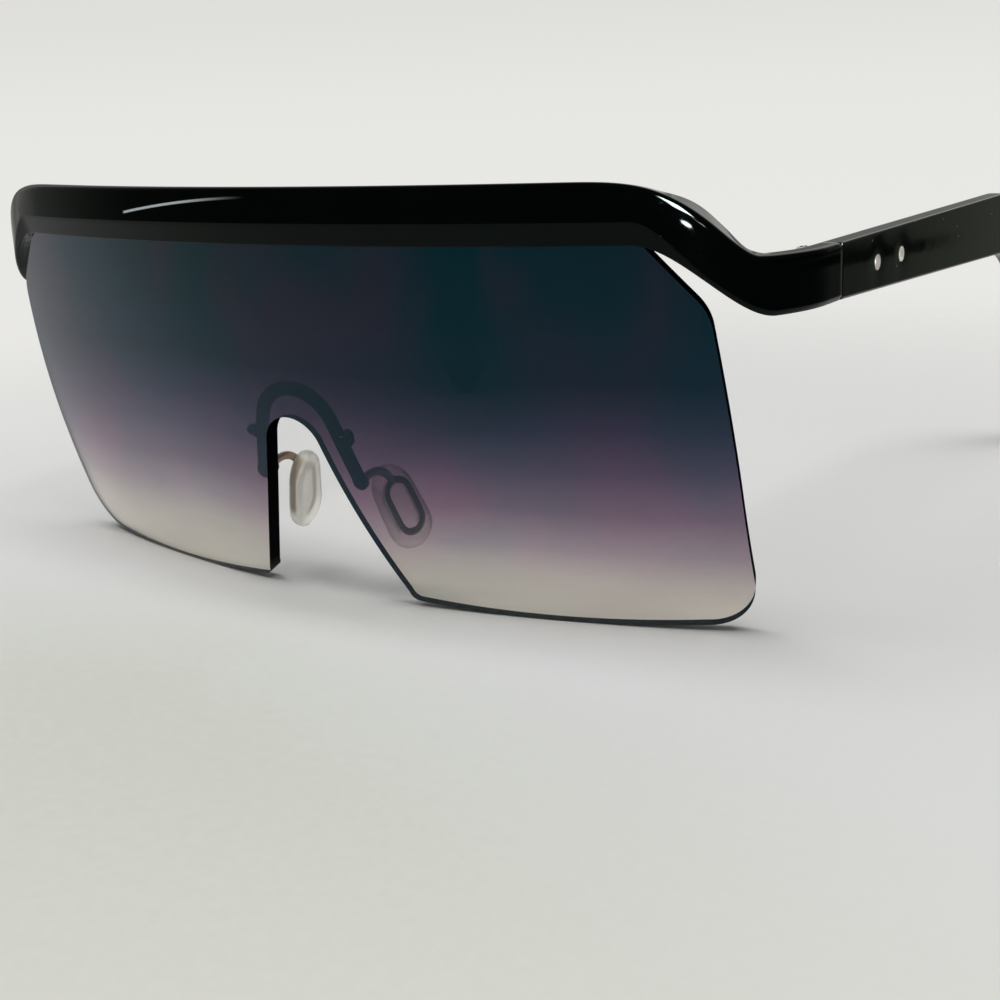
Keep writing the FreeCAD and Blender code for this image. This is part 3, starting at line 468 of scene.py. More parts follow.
def bar_moulding():
    """The bar: a rounded section carried along its plan, falling by a smooth step round each bend.

    Section corners are given as depth behind the outer face and height. The top leans outwards where it
    falls, the bevel and the slot for the lens die out at the bends, and the last rings shrink to a round rim.
    """
    bend_end = FRONT_RUN + BEND_RUN
    run = bend_end + END_RUN
    curl = np.linspace(0, math.pi / 2, 5)[1:]
    half = chain(np.linspace(0, FRONT_RUN, 90), np.linspace(FRONT_RUN, bend_end, 110),
                 np.linspace(bend_end, run - JOINT_RIM, 6))
    shrink = np.concatenate([np.zeros(len(half)), JOINT_RIM * (1 - np.cos(curl))])[:, None]
    half = np.concatenate([half, run - JOINT_RIM + JOINT_RIM * np.sin(curl)])
    x, y, turn = bar_plan(half)
    past = half - FRONT_RUN
    drop = smooth((past - DROP_START) / DROP_RUN)
    top_drop = smooth(np.clip((past - TOP_DROP_START) / TOP_DROP_RUN, 0.0, 1.0) ** TOP_DROP_DELAY)
    roll = smooth(past / ROLL_RUN) * (1 - smooth((past - ROLL_END) / ROLL_END_RUN))
    fade = smooth((past - BEVEL_FADE) / BEVEL_FADE_RUN)
    thick = BAR_DEPTH + (END_THICK - BAR_DEPTH) * smooth(past / BEND_RUN)
    top = BAR_TOP - END_DROP * top_drop - ROLL_SINK * roll
    top_back = top - TOP_SLOPE * (1 - top_drop) + ROLL_LIFT * roll
    low = BAR_LOW + (END_LOW - BAR_LOW) * drop
    bevel_top = low + between(BEVEL_HIGH, fade)
    crease = bevel_top + (CREASE_SHARE + CREASE_RISE * fade) * (top - bevel_top)
    slot = np.maximum(GROOVE_DEEP * (1 - smooth((x - SLOT_END) / SLOT_END_RUN)), SLOT_LEAST)
    slot_front = np.full_like(x, BAR_STANDOFF - GROOVE_PLAY)
    slot_back = np.minimum(slot_front + LENS_THICK + 2 * GROOVE_PLAY + SLOT_SPARE, thick - SLOT_WALL)
    zero = np.zeros_like(x)
    depth = np.stack([between(BAR_CROWN, drop), thick, thick, slot_back, slot_back, slot_front, slot_front,
                      between(BEVEL_DEEP, fade), zero, zero], axis=-1)
    height = np.stack([top, top_back, low, low, low + slot, low + slot, low, low, bevel_top, crease],
                      axis=-1)
    height[:, 2:7] += (ROLL_UNDER * roll / thick)[:, None] * depth[:, 2:7]
    centre_a, centre_z = thick[:, None] / 2, ((top + low) / 2)[:, None]
    corners = np.stack([centre_a + (depth - centre_a) * (1 - shrink / (END_THICK / 2)),
                        centre_z + (height - centre_z) * (1 - shrink / RIM_HALF_HIGH)], axis=-1)
    # How far each corner is rounded, in the order of the corners.
    cut = 0.4 * np.minimum(slot, 0.08)
    reach = np.stack([zero + 0.85, zero + 0.8, zero + 0.7, cut, cut, cut, cut, zero + 0.22,
                      0.35 + 0.05 * drop, zero + 1.1], axis=-1)
    ring = rounded_ring(corners, reach)
    sin, cos = np.sin(turn)[:, None], np.cos(turn)[:, None]
    left = np.stack([x[:, None] - ring[..., 0] * sin, y[:, None] + ring[..., 0] * cos, ring[..., 1]], axis=-1)
    return [tube_shell(np.concatenate([(left * (-1, 1, 1))[:0:-1], left]))]


def bridge_path():
    """The bridge's centre line from the front: leg, arch, leg, with the legs touching the arch smoothly."""
    centre_z = APEX_Z + BRIDGE_RISE - BRIDGE_RADIUS
    foot = np.array([FOOT_HALF, APEX_Z - FOOT_DROP])
    reach = math.hypot(foot[0], foot[1] - centre_z)
    turn = math.atan2(foot[1] - centre_z, foot[0]) + math.acos(BRIDGE_RADIUS / reach)
    angle = np.linspace(turn, math.pi - turn, 150)
    arch = np.array([0.0, centre_z]) + BRIDGE_RADIUS * np.stack([np.cos(angle), np.sin(angle)], axis=-1)
    return chain(np.linspace(foot, arch[0], 24), arch, np.linspace(arch[-1], foot * (-1, 1), 24))


def bridge_band():
    """The nose bridge: a rounded band bent along the lens's back, with round ears and round feet."""
    path = bridge_path()
    centre = on_sphere(path[:, 0], path[:, 1], BRIDGE_MIDDLE)
    deep = inward(centre)
    side = unit(np.cross(deep, np.gradient(centre, axis=0)))
    section = superellipse(BRIDGE_WIDE / 2, BRIDGE_THICK / 2, 3.6, 28)
    shells = [tube_shell(swept(centre, section, side, deep))]
    for sign in (1, -1):
        for half, drop, radius in ((EAR_HALF, EAR_DROP, EAR_ROUND), (FOOT_HALF, FOOT_DROP, FOOT_RADIUS)):
            place = on_sphere(sign * half, APEX_Z - drop, BRIDGE_MIDDLE)
            shells.append(boss(place, inward(place), radius, BRIDGE_THICK / 2))
    return shells


def pad_axes():
    """The left pad's own axes: down its length, across its width and towards the nose."""
    down = unit(np.array([math.tan(PAD_SPLAY), math.tan(PAD_RAKE), -1.0]))
    face = np.array([-math.cos(PAD_TURN), math.sin(PAD_TURN), 0.0])
    face = unit(face - down * (face @ down))
    return down, np.cross(face, down), face


def track(length, width):
    """A slot-shaped ring: two half circles joined by straight sides, for several sizes at once."""
    turn = full_turn(96)[None]
    r = np.asarray(width, float)[:, None] / 2
    e = np.asarray(length, float)[:, None] / 2 - r
    ends = np.tanh(6 * np.cos(turn)) / math.tanh(6)
    return np.stack([r * np.cos(turn) + e * ends, r * np.sin(turn)], axis=-1)


def nose_pad():
    """The left pad: slot-shaped rings from its outer side over its groove and rim to its crowned face.

    The rim is wider at the lower end.
    """
    flat = track(PAD_RINGS[:, 0], PAD_RINGS[:, 1])
    rim = smooth((PAD_RINGS[:, 0] - PAD_RIM_START) / PAD_RIM_RUN)[:, None]
    flat[..., 1] *= 1 - rim * PAD_TAPER * (1 - flat[..., 0] / (PAD_LONG / 2))
    down, across, face = pad_axes()
    height = PAD_RINGS[:, 2][:, None, None]
    grid = PAD_CENTRE + flat[..., :1] * down + flat[..., 1:] * across + height * face
    return [tube_shell(grid, caps=False)]


def pad_arm():
    """The left pad arm: a round wire on an arc from the bridge's foot to the ring, and the ring's band."""
    down, across, face = pad_axes()
    foot = on_sphere(FOOT_HALF, APEX_Z - FOOT_DROP, BRIDGE_BACK)
    start = foot - inward(foot) * ARM_SINK
    end = PAD_CENTRE - down * (RING_LONG / 2 - RING_BAND / 2)
    way = unit(end - start)
    lift = np.array([0.0, 0.0, 1.0])
    plane_up = unit(lift - way * (lift @ way))
    span = np.linalg.norm(end - start)
    flat = arc_through((0.0, 0.0), (span / 2, ARM_ARCH), (span, 0.0), 40)
    path = start + flat[:, :1] * way + flat[:, 1:] * plane_up
    along = unit(np.gradient(path, axis=0))
    out = unit(np.cross(along, plane_up))
    wire = swept(path, superellipse(ARM_RADIUS, ARM_RADIUS * ARM_FLAT, 2.4, 24), np.cross(out, along), out)
    middle = track(np.array([RING_LONG - RING_BAND]), np.array([RING_WIDE - RING_BAND]))[0]
    tangent = unit(np.roll(middle, -1, axis=0) - np.roll(middle, 1, axis=0))
    normal = np.stack([tangent[:, 1], -tangent[:, 0]], axis=-1)
    band = superellipse(RING_BAND / 2, RING_THICK / 2, 3.0, 20)
    plan = middle[:, None] + band[None, :, :1] * normal[:, None]
    ring = PAD_CENTRE + plan[..., :1] * down + plan[..., 1:] * across + band[None, :, 1:] * face
    ring = np.concatenate([ring, ring[:1]])
    return [tube_shell(wire), tube_shell(ring, caps=False)]


def lens_screw_pair():
    """The two screws from the bar's back into the lens."""
    shells = []
    for side in (1, -1):
        seat = on_sphere(side * LENS_SCREW_HALF, GROOVE_MIDDLE, LENS_THICK - LENS_SCREW_REACH)
        way = inward(seat)
        flat = math.hypot(way[0], way[1])
        depth = (math.hypot(seat[0], LENS_Y - seat[1]) - (BAR_RADIUS - BAR_DEPTH)) / flat
        shells.append(screw_shell(seat + SCREW_PLAY * way, way, SCREW_SHANK, depth + SCREW_PLAY,
                                  SCREW_HEAD, SCREW_HEAD_HIGH, SCREW_RECESS))
    return shells


def bridge_pin_pair():
    """The two pins that hold the bridge: a collar against the lens, a shank and a plain domed head."""
    shells = []
    shank = PIN_REACH + BRIDGE_GAP + BRIDGE_THICK
    for side in (1, -1):
        seat = on_sphere(side * EAR_HALF, APEX_Z - EAR_DROP, LENS_THICK - PIN_REACH)
        way = inward(seat)
        collar = seat + (PIN_REACH + BRIDGE_GAP / 2) * way
        shells.append(screw_shell(seat + SCREW_PLAY * way, way, SCREW_SHANK, shank, PIN_HEAD, PIN_HEAD_HIGH))
        shells.append(boss(collar, way, PIN_HEAD, BRIDGE_GAP / 2 - SCREW_PLAY))
    return shells


def leaf_screw_pair():
    """The two screws that hold the left front hinge leaf, heads towards the head space."""
    shells = []
    for i in range(2):
        y = JOINT_Y - LEAF_SCREW_FIRST - LEAF_SCREW_STEP * i
        tip = np.array([INNER_X + LEAF_SCREW_REACH, y, END_MIDDLE])
        shells.append(screw_shell(tip, (-1.0, 0.0, 0.0), 0.55, LEAF_SCREW_REACH + LEAF_THICK, SCREW_HEAD,
                                  SCREW_HEAD_HIGH, SCREW_RECESS))
    return shells


def hinge_screw():
    """The left hinge screw, head up."""
    foot = np.array([INNER_X - HINGE_PIN_IN, JOINT_Y + JOINT_GAP / 2, END_MIDDLE - HINGE_HIGH / 2])
    return [screw_shell(foot, (0.0, 0.0, 1.0), 0.65, HINGE_HIGH, head=1.15, head_high=0.7, recess=0.3)]


# Pieces of the temples

def temple_line(along):
    """Centre line of the temple from the side: straight, ear bend, straight.

    Gives y and z, the angle below level, the first straight's length and the length up to the tip's disc.
    """
    fall = math.atan2(TEMPLE_FALL, TEMPLE_RUN)
    straight = math.hypot(TEMPLE_FALL, TEMPLE_RUN)
    bend = EAR_RADIUS * (EAR_ANGLE - fall)
    start = np.array([JOINT_Y + JOINT_GAP, END_MIDDLE])
    knee = start + (TEMPLE_RUN, -TEMPLE_FALL)
    centre = knee - EAR_RADIUS * np.array([math.sin(fall), math.cos(fall)])
    angle = np.clip(fall + (along - straight) / EAR_RADIUS, fall, EAR_ANGLE)
    round_part = centre + EAR_RADIUS * np.stack([np.sin(angle), np.cos(angle)], axis=-1)
    first = start + along[:, None] * np.array([math.cos(fall), -math.sin(fall)])
    past = np.maximum(along - straight - bend, 0.0)[:, None]
    last = round_part + past * np.array([math.cos(EAR_ANGLE), -math.sin(EAR_ANGLE)])
    place = np.where(along[:, None] < straight, first, last)
    end_z = centre[1] + EAR_RADIUS * math.cos(EAR_ANGLE)
    ear = (end_z - TEMPLE_HIGH / 2) / math.sin(EAR_ANGLE)
    return place, angle, straight, straight + bend + ear


def temple_moulding():
    """The left temple: a rounded section that grows along its centre line and ends in a rounded half disc.

    Section heights at the tip follow a circle and its thickness a flatter curve. The outer face sinks a
    little round each rivet, by the sum of two bell curves.
    """
    fine_run = 34.0
    least = 1e-4
    half = TEMPLE_HIGH / 2
    _, _, straight, run = temple_line(np.zeros(1))
    curl = np.linspace(math.pi / 2, 0, 6)[1:-1]
    tip_turn = np.linspace(0, math.pi / 2, 26)[1:]
    along = np.concatenate([[0.0], JOINT_RIM * (1 - np.sin(curl)), np.linspace(JOINT_RIM, fine_run, 120),
                            np.linspace(fine_run, straight, 60)[1:], np.linspace(straight, run, 110)[1:],
                            run + half * np.sin(tip_turn)])
    place, angle, _, _ = temple_line(along)
    angle = np.where(along < straight, angle * along / straight, angle)
    grow = END_HIGH / 2 + (half - END_HIGH / 2) * np.minimum(along / straight, 1.0)
    past = np.clip((along - run) / half, 0.0, 1.0)
    lead = np.clip(1 - along / JOINT_RIM, 0.0, 1.0)
    shrink = JOINT_RIM * (1 - np.sqrt(1 - lead ** 2))
    tall = np.maximum(grow * np.sqrt(np.maximum(1 - past ** 2, 0.0)) - shrink, least)
    thick = np.maximum(END_THICK / 2 * np.maximum(1 - past ** 4, 0.0) ** 0.5 - shrink, least)
    crown = TEMPLE_CROWN * np.minimum(thick, 1.0)
    zero = np.zeros_like(along)
    across = np.stack([-thick, thick - crown, thick, thick - crown, -thick, -thick], axis=-1)
    high = np.stack([tall, tall, zero, -tall, -tall, zero], axis=-1)
    edge = np.minimum(TEMPLE_EDGE, np.minimum(tall, thick) * 0.45)
    face = np.minimum(tall * 0.35, 2.0)
    reach = np.stack([edge, edge * 0.5, face, edge * 0.5, edge, face * 0.5], axis=-1)
    ring = rounded_ring(np.stack([across, high], axis=-1), reach, 9)
    x = INNER_X + END_THICK / 2 + ring[..., 0]
    y = place[:, :1] + ring[..., 1] * np.sin(angle)[:, None]
    z = place[:, 1:] + ring[..., 1] * np.cos(angle)[:, None]
    outer = smooth(ring[..., 0] / (END_THICK / 2))
    for rivet_y in RIVET_Y:
        off = (y - rivet_y) ** 2 + (z - RIVET_Z) ** 2
        x = x - DENT_DEEP * outer * np.exp(-off / (2 * DENT_WIDE ** 2))
    return [tube_shell(np.stack([x, y, z], axis=-1))]


def rivet_pair():
    """The left temple's rivets: a shank with a low dome outside and a round head on the hinge leaf inside."""
    through = END_THICK + LEAF_THICK
    dome = np.linspace(0, 1, 12)
    ease = np.linspace(0, math.pi / 2, 4)
    radii = np.concatenate([[0.0, 1.0, 1.45, 1.62, 1.7, 1.7, RIVET_RADIUS, RIVET_RADIUS],
                            RIVET_RADIUS - 0.1 * (1 - np.cos(ease)), (RIVET_RADIUS - 0.12) * (1 - dome)])
    level = np.concatenate([[-0.5, -0.5, -0.46, -0.36, -0.2, 0.0, 0.0, through - 0.06],
                            through - 0.06 + 0.07 * np.sin(ease),
                            through + 0.02 + 0.06 * (1 - (1 - dome) ** 2)])
    back = INNER_X - LEAF_THICK
    return [lathe(np.array([back, y, RIVET_Z]), (1.0, 0.0, 0.0), radii, level, 56) for y in RIVET_Y]


# Nodes

def material(name):
    """A new material and its node tree."""
    made = bpy.data.materials.new(name)
    made.use_nodes = True
    return made, made.node_tree


def feed(tree, socket, value):
    """Links an input from a socket, or sets it."""
    if isinstance(value, bpy.types.NodeSocket):
        tree.links.new(value, socket)
    else:
        socket.default_value = value


def add(tree, kind, values=None, **settings):
    """A node with settings, and its inputs set or linked."""
    made = tree.nodes.new(kind)
    for key, value in settings.items():
        setattr(made, key, value)
    for key, value in (values or {}).items():
        feed(tree, made.inputs[key], value)
    return made


def shaded(made, **values):
    """A material with its shader's inputs set or linked, named with underscores for spaces."""
    shader = made.node_tree.nodes["Principled BSDF"]
    for key, value in values.items():
        feed(made.node_tree, shader.inputs[key.replace("_", " ")], value)
    return made


def ramp(tree, factor, stops):
    """A colour ramp with (place, colour) stops."""
    made = add(tree, "ShaderNodeValToRGB", {"Fac": factor})
    elements = made.color_ramp.elements
    while len(elements) < len(stops):
        elements.new(0.5)
    for element, (place, colour) in zip(elements, stops):
        element.position = place
        element.color = (*colour, 1.0)
    return made.outputs["Color"]


def spread(tree, value, low, high, to_low=0.0, to_high=1.0, smooth_step=True):
    """A value carried from one range to another."""
    values = {"Value": value, "From Min": low, "From Max": high, "To Min": to_low, "To Max": to_high}
    kind = "SMOOTHSTEP" if smooth_step else "LINEAR"
    return add(tree, "ShaderNodeMapRange", values, interpolation_type=kind).outputs["Result"]


def math_node(tree, operation, a, b=0.0):
    """One or two numbers joined by an operation."""
    return add(tree, "ShaderNodeMath", {0: a, 1: b}, operation=operation).outputs["Value"]


def times(tree, first, *more):
    """The product of several numbers."""
    for value in more:
        first = math_node(tree, "MULTIPLY", first, value)
    return first


def mixed(tree, factor, a, b):
    """A colour between two colours."""
    return add(tree, "ShaderNodeMix", {0: factor, 6: a, 7: b}, data_type="RGBA").outputs[2]


def vector_math(tree, operation, a, b=None, output="Vector"):
    """One or two directions or places joined by an operation."""
    values = {0: a} if b is None else {0: a, 1: b}
    return add(tree, "ShaderNodeVectorMath", values, operation=operation).outputs[output]


def own_place(tree):
    """The place on the object."""
    return add(tree, "ShaderNodeTexCoord").outputs["Object"]


def parts(tree, place):
    """The three parts of a place or direction."""
    apart = add(tree, "ShaderNodeSeparateXYZ", {"Vector": place})
    return [apart.outputs[axis] for axis in "XYZ"]


def stretched(tree, place, scale, turn=(0.0, 0.0, 0.0)):
    """A place scaled by axis and then turned."""
    values = {"Vector": place, "Scale": scale, "Rotation": turn}
    return add(tree, "ShaderNodeMapping", values).outputs["Vector"]


def noise(tree, place, scale, detail, **more):
    """Cloudy noise; more names further inputs."""
    values = {"Vector": place, "Scale": scale, "Detail": detail, **more}
    return add(tree, "ShaderNodeTexNoise", values).outputs["Fac"]


def bumped(tree, height, strength, distance):
    """The face's direction, tilted by a height."""
    values = {"Height": height, "Strength": strength, "Distance": distance}
    return add(tree, "ShaderNodeBump", values).outputs["Normal"]


# Finishes

# Tint of the lens by height, in its blue-green and in its plum clouds.
COOL_TINT = [(0.0, (0.95, 0.92, 0.82)), (0.10, (0.66, 0.62, 0.56)), (0.21, (0.35, 0.30, 0.33)),
             (0.31, (0.170, 0.128, 0.174)), (0.42, (0.070, 0.056, 0.090)), (0.52, (0.025, 0.021, 0.040)),
             (0.63, (0.0035, 0.003, 0.006)), (0.75, (0.0004, 0.0005, 0.0006))]
WARM_TINT = [(0.0, (0.95, 0.91, 0.81)), (0.10, (0.68, 0.61, 0.56)), (0.21, (0.385, 0.295, 0.335)),
             (0.31, (0.215, 0.126, 0.178)), (0.42, (0.100, 0.056, 0.096)), (0.52, (0.041, 0.021, 0.046)),
             (0.63, (0.006, 0.0035, 0.008)), (0.75, (0.0005, 0.0005, 0.0006))]
# Colour of the lens's reflections by height, in the same clouds.
COOL_GLOSS = [(0.50, (0.10, 0.33, 0.50)), (0.72, (0.09, 0.41, 0.66)), (1.0, (0.03, 0.34, 0.52))]
WARM_GLOSS = [(0.58, (0.12, 0.33, 0.54)), (0.74, (0.34, 0.37, 0.70)), (1.0, (0.23, 0.29, 0.54))]
EDGE_TONE = [(0.0, (0.06, 0.056, 0.048)), (0.05, (0.006, 0.006, 0.007)), (1.0, (0.001, 0.0012, 0.002))]
EDGE_SPECK = (0.005, 0.005, 0.006, 1.0)
LINT_COLOUR = (0.16, 0.19, 0.19, 1.0)
# Colour of the painted highlight line on the bar: a bright reflection painted into its colour.
HIGHLIGHT_LINE_COLOUR = (0.86, 0.94, 1.0, 1.0)
BLACK_GLOSS = (0.76, 0.97, 0.95, 1.0)
PAD_TONE = [(0.3, (0.95, 0.935, 0.87)), (0.7, (0.99, 0.98, 0.93))]

# The painted highlight line on the bar, a reflection painted into its colour, in metres: a point, slope and
# bow, then the ranges over which it fades.
HIGHLIGHT_LINE_X = -0.0134
HIGHLIGHT_LINE_Z = 0.0624
HIGHLIGHT_LINE_SLOPE = 0.0939
HIGHLIGHT_LINE_BOW = -2.525
HIGHLIGHT_LINE_HALF = (0.00024, 0.00010)
HIGHLIGHT_LINE_FAR = (-0.0128, -0.0122)
HIGHLIGHT_LINE_NEAR = (0.014, -0.002)
HIGHLIGHT_LINE_FRONT = (-0.078, -0.079)


def handling_marks():
    """Marks of use on a polished face: smears, hair-fine scratches, specks of lint and a faint waviness."""
    tree = bpy.data.node_groups.new("handling_marks", "ShaderNodeTree")
    size = tree.interface.new_socket("Size", in_out="INPUT", socket_type="NodeSocketFloat")
    size.default_value = 1.0
    for label in ("Smear", "Scratch", "Lint", "Height"):
        tree.interface.new_socket(label, in_out="OUTPUT", socket_type="NodeSocketFloat")
    given, out = tree.nodes.new("NodeGroupInput"), tree.nodes.new("NodeGroupOutput")
    sizing = {0: own_place(tree), "Scale": given.outputs["Size"]}
    at = add(tree, "ShaderNodeVectorMath", sizing, operation="SCALE").outputs["Vector"]
    hair = noise(tree, stretched(tree, at, (90.0, 2600.0, 900.0), (0.5, 0.3, 0.7)), 1.0, 1.0)
    where = noise(tree, at, 110.0, 1.0)
    cells = add(tree, "ShaderNodeTexVoronoi", {"Vector": at, "Scale": 330.0}, feature="F1")
    pick = add(tree, "ShaderNodeSeparateColor", {"Color": cells.outputs["Color"]}).outputs["Red"]
    speck = spread(tree, cells.outputs["Distance"], 0.09, 0.05)
    marks = {"Smear": noise(tree, at, 60.0, 3.0),
             "Scratch": times(tree, spread(tree, hair, 0.68, 0.76), spread(tree, where, 0.5, 0.62)),
             "Lint": times(tree, speck, spread(tree, pick, 0.945, 0.95)),
             "Height": noise(tree, at, 260.0, 2.0)}
    for label, socket in marks.items():
        tree.links.new(socket, out.inputs[label])
    return tree


def marked(tree, marks, size):
    """What the group of handling marks puts out at a size."""
    return add(tree, "ShaderNodeGroup", {"Size": size}, node_tree=marks).outputs


def painted_highlight_line(tree):
    """A painted highlight on the bar's front: a hair-fine, slightly bowed bright line that stands in for a
    reflection, fainter towards the middle.
    """
    x, y, z = parts(tree, own_place(tree))
    along = math_node(tree, "ADD", x, -HIGHLIGHT_LINE_X)
    slope = math_node(tree, "ADD", times(tree, along, HIGHLIGHT_LINE_BOW), HIGHLIGHT_LINE_SLOPE)
    line = math_node(tree, "ADD", times(tree, along, slope), HIGHLIGHT_LINE_Z)
    off = math_node(tree, "ABSOLUTE", math_node(tree, "SUBTRACT", z, line))
    return times(tree, spread(tree, off, *HIGHLIGHT_LINE_HALF), spread(tree, along, *HIGHLIGHT_LINE_FAR),
                 spread(tree, along, *HIGHLIGHT_LINE_NEAR), spread(tree, y, *HIGHLIGHT_LINE_FRONT))


def gloss_black(name, marks, size, rough, tone, gloss, with_painted_highlight=False):
    """Polished black plastic: nearly black, a shade lighter in smears, rougher on scratches, with lint, and
    with a painted highlight line if asked.
    """
    made, tree = material(name)
    wear = marked(tree, marks, size)
    base = ramp(tree, wear["Smear"], [(0.3, tone), (0.7, tuple(1.7 * c for c in tone))])
    colour = mixed(tree, wear["Lint"], base, LINT_COLOUR)
    # A painted highlight: a bright line mixed into the colour, standing in for a reflection.
    if with_painted_highlight:
        colour = mixed(tree, painted_highlight_line(tree), colour, HIGHLIGHT_LINE_COLOUR)
    smeared = spread(tree, wear["Smear"], 0.3, 0.75, rough, rough + 0.05)
    roughness = math_node(tree, "ADD", smeared, times(tree, wear["Scratch"], 0.18))
    return shaded(made, Base_Color=colour, Roughness=roughness, IOR=1.45, Specular_IOR_Level=gloss,
                  Specular_Tint=BLACK_GLOSS, Normal=bumped(tree, wear["Height"], 0.03, 0.0003))


def lens_finish(marks):
    """Graded sun lens: clear below, plum in the middle, blue-black at the top, with faint smears.

    Soft clouds choose between a blue-green and a plum tint. The grading drifts a little. It lies higher on
    the wearer's right, which is painted light: the lens is clearer there to stand in for its brighter grazing
    reflection.
    """
    made, tree = material("lens_tint")
    place = own_place(tree)
    x, _, z = parts(tree, place)
    height = spread(tree, z, 0.0, 0.060, smooth_step=False)
    drift = math_node(tree, "SUBTRACT", noise(tree, place, 24.0, 2.0, Roughness=0.45), 0.5)
    level = math_node(tree, "ADD", height, times(tree, drift, 0.06))
    # Painted light: the grading is lowered on the wearer's right, so that the lens is clearer there, standing
    # in for its brighter grazing reflection.
    level = math_node(tree, "ADD", level, spread(tree, x, 0.0, -0.03, 0.0, -0.035))
    upright = stretched(tree, place, (1.0, 1.0, 0.6))
    clouds = spread(tree, noise(tree, upright, 44.0, 2.5, Roughness=0.5, Distortion=0.6), 0.38, 0.62)
    tint = mixed(tree, clouds, ramp(tree, level, COOL_TINT), ramp(tree, level, WARM_TINT))
    gloss = mixed(tree, clouds, ramp(tree, level, COOL_GLOSS), ramp(tree, level, WARM_GLOSS))
    smear = marked(tree, marks, 0.7)["Smear"]
    return shaded(made, Base_Color=tint, Roughness=spread(tree, smear, 0.35, 0.8, 0.0, 0.035), IOR=1.75,
                  Transmission_Weight=1.0, Specular_IOR_Level=1.0, Specular_Tint=gloss)


def lens_edge_finish():
    """The lens's cut edge: sawn and polished, nearly black at the top and charcoal below."""
    made, tree = material("lens_edge")
    place = own_place(tree)
    grain = noise(tree, place, 900.0, 4.0)
    tone = ramp(tree, spread(tree, parts(tree, place)[2], 0.0, 0.03), EDGE_TONE)
    speck = mixed(tree, spread(tree, grain, 0.55, 0.85), tone, EDGE_SPECK)
    return shaded(made, Base_Color=speck, Roughness=spread(tree, grain, 0.3, 0.7, 0.3, 0.5),
                  Specular_IOR_Level=0.0, Normal=bumped(tree, grain, 0.12, 0.0002))


def metal(name, tone, rough, scale, bare=1.0):
    """Satin metal, bare or lacquered in part: fine drawn lines and a cloudy tone."""
    made, tree = material(name)
    place = own_place(tree)
    lines = noise(tree, stretched(tree, place, (scale, scale * 0.12, scale)), 1.0, 3.0)
    cloud = noise(tree, place, 320.0, 2.0)
    base = ramp(tree, cloud, [(0.3, tuple(0.82 * c for c in tone)), (0.7, tone)])
    roughness = spread(tree, lines, 0.3, 0.7, rough, rough + 0.14)
    return shaded(made, Base_Color=base, Metallic=bare, Roughness=roughness,
                  Normal=bumped(tree, lines, 0.12, 0.00012))


def silicone(name):
    """Clear silicone: slightly milky and warm, softly polished, with faint flow marks."""
    made, tree = material(name)
    flow = noise(tree, own_place(tree), 420.0, 3.0, Distortion=0.6)
    return shaded(made, Base_Color=ramp(tree, flow, PAD_TONE), IOR=1.3, Transmission_Weight=0.86,
                  Roughness=spread(tree, flow, 0.3, 0.7, 0.38, 0.48), Specular_IOR_Level=0.3,
                  Normal=bumped(tree, flow, 0.02, 0.0003))


marks = handling_marks()
# The bar gets the painted highlight line, a reflection painted into its colour.
BAR_FINISH = gloss_black("bar_black", marks, 1.0, 0.03, (0.0012, 0.0019, 0.0019), 0.13, True)
TEMPLE_FINISH = gloss_black("temple_black", marks, 1.3, 0.05, (0.0020, 0.0025, 0.0020), 0.25)
LENS_FINISH = lens_finish(marks)
EDGE_FINISH = lens_edge_finish()
BRIDGE_FINISH = metal("bridge_metal", (0.06, 0.065, 0.07), 0.30, 2600.0)
ARM_FINISH = metal("arm_metal", (0.36, 0.27, 0.20), 0.30, 2600.0, 0.5)
HINGE_FINISH = metal("hinge_metal", (0.60, 0.60, 0.59), 0.24, 1900.0)
STEEL_FINISH = metal("small_steel", (0.66, 0.66, 0.65), 0.2, 3000.0)
RIVET_FINISH = metal("rivet_metal", (0.95, 0.92, 0.82), 0.34, 2400.0, 0.2)
PAD_FINISH = silicone("pad_silicone")


# The object

make_piece("lens_sheet", lens_sheet(), [LENS_FINISH, EDGE_FINISH], "front", ["shield_lens"],
           LENS_SHARP)
make_piece("bar_moulding", bar_moulding(), [BAR_FINISH], "front", ["brow_bar"])
make_piece("bridge_band", bridge_band(), [BRIDGE_FINISH], "front", ["nose_bridge"])

for tag, body, turn in (("left", "left_temple", lambda s: s), ("right", "right_temple", flipped)):
    make_piece("nose_pad_soft_" + tag, turn(nose_pad()), [PAD_FINISH], "front",
               ["nose_pad_" + tag], PAD_SHARP)
    make_piece("pad_arm_wire_" + tag, turn(pad_arm()), [ARM_FINISH], "front",
               ["pad_arm_" + tag])
    make_piece("temple_moulding_" + tag, turn(temple_moulding()), [TEMPLE_FINISH], body,
               ["temple_" + tag])
    make_piece("rivets_" + tag, turn(rivet_pair()), [RIVET_FINISH], body,
               ["temple_rivets_" + tag])
    make_piece("leaf_screws_" + tag, turn(leaf_screw_pair()), [STEEL_FINISH], "front",
               ["hinge_leaf_screws_" + tag])
    make_piece("fold_screw_" + tag, turn(hinge_screw()), [STEEL_FINISH], "front",
               ["hinge_screw_" + tag])
    for node in ("front_hinge_" + tag, "temple_hinge_" + tag):
        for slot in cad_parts[node].material_slots:
            slot.material = HINGE_FINISH
make_piece("bar_screws", lens_screw_pair(), [STEEL_FINISH], "front", ["lens_screws"])
make_piece("bridge_studs", bridge_pin_pair(), [BRIDGE_FINISH], "front", ["bridge_pins"])


# Floor, light and camera, in metres

FLOOR_RADIUS = 0.85
FLOOR_CORNERS = 128
# Floor colour from front to back: a warmer tone in front, and painted light, darker in front and lighter
# towards the back and the sides.
FLOOR_TONE_AND_PAINTED_LIGHT = [(0.0, (0.74, 0.75, 0.645)), (0.28, (0.785, 0.795, 0.705)), (0.50, (0.89, 0.89, 0.87)),
              (1.0, (0.98, 0.98, 0.96))]
FLOOR_FIBRE = (0.92, 0.92, 0.90, 1.0)
MIRRORED_CENTRE = (-0.15, -0.10, 0.0)

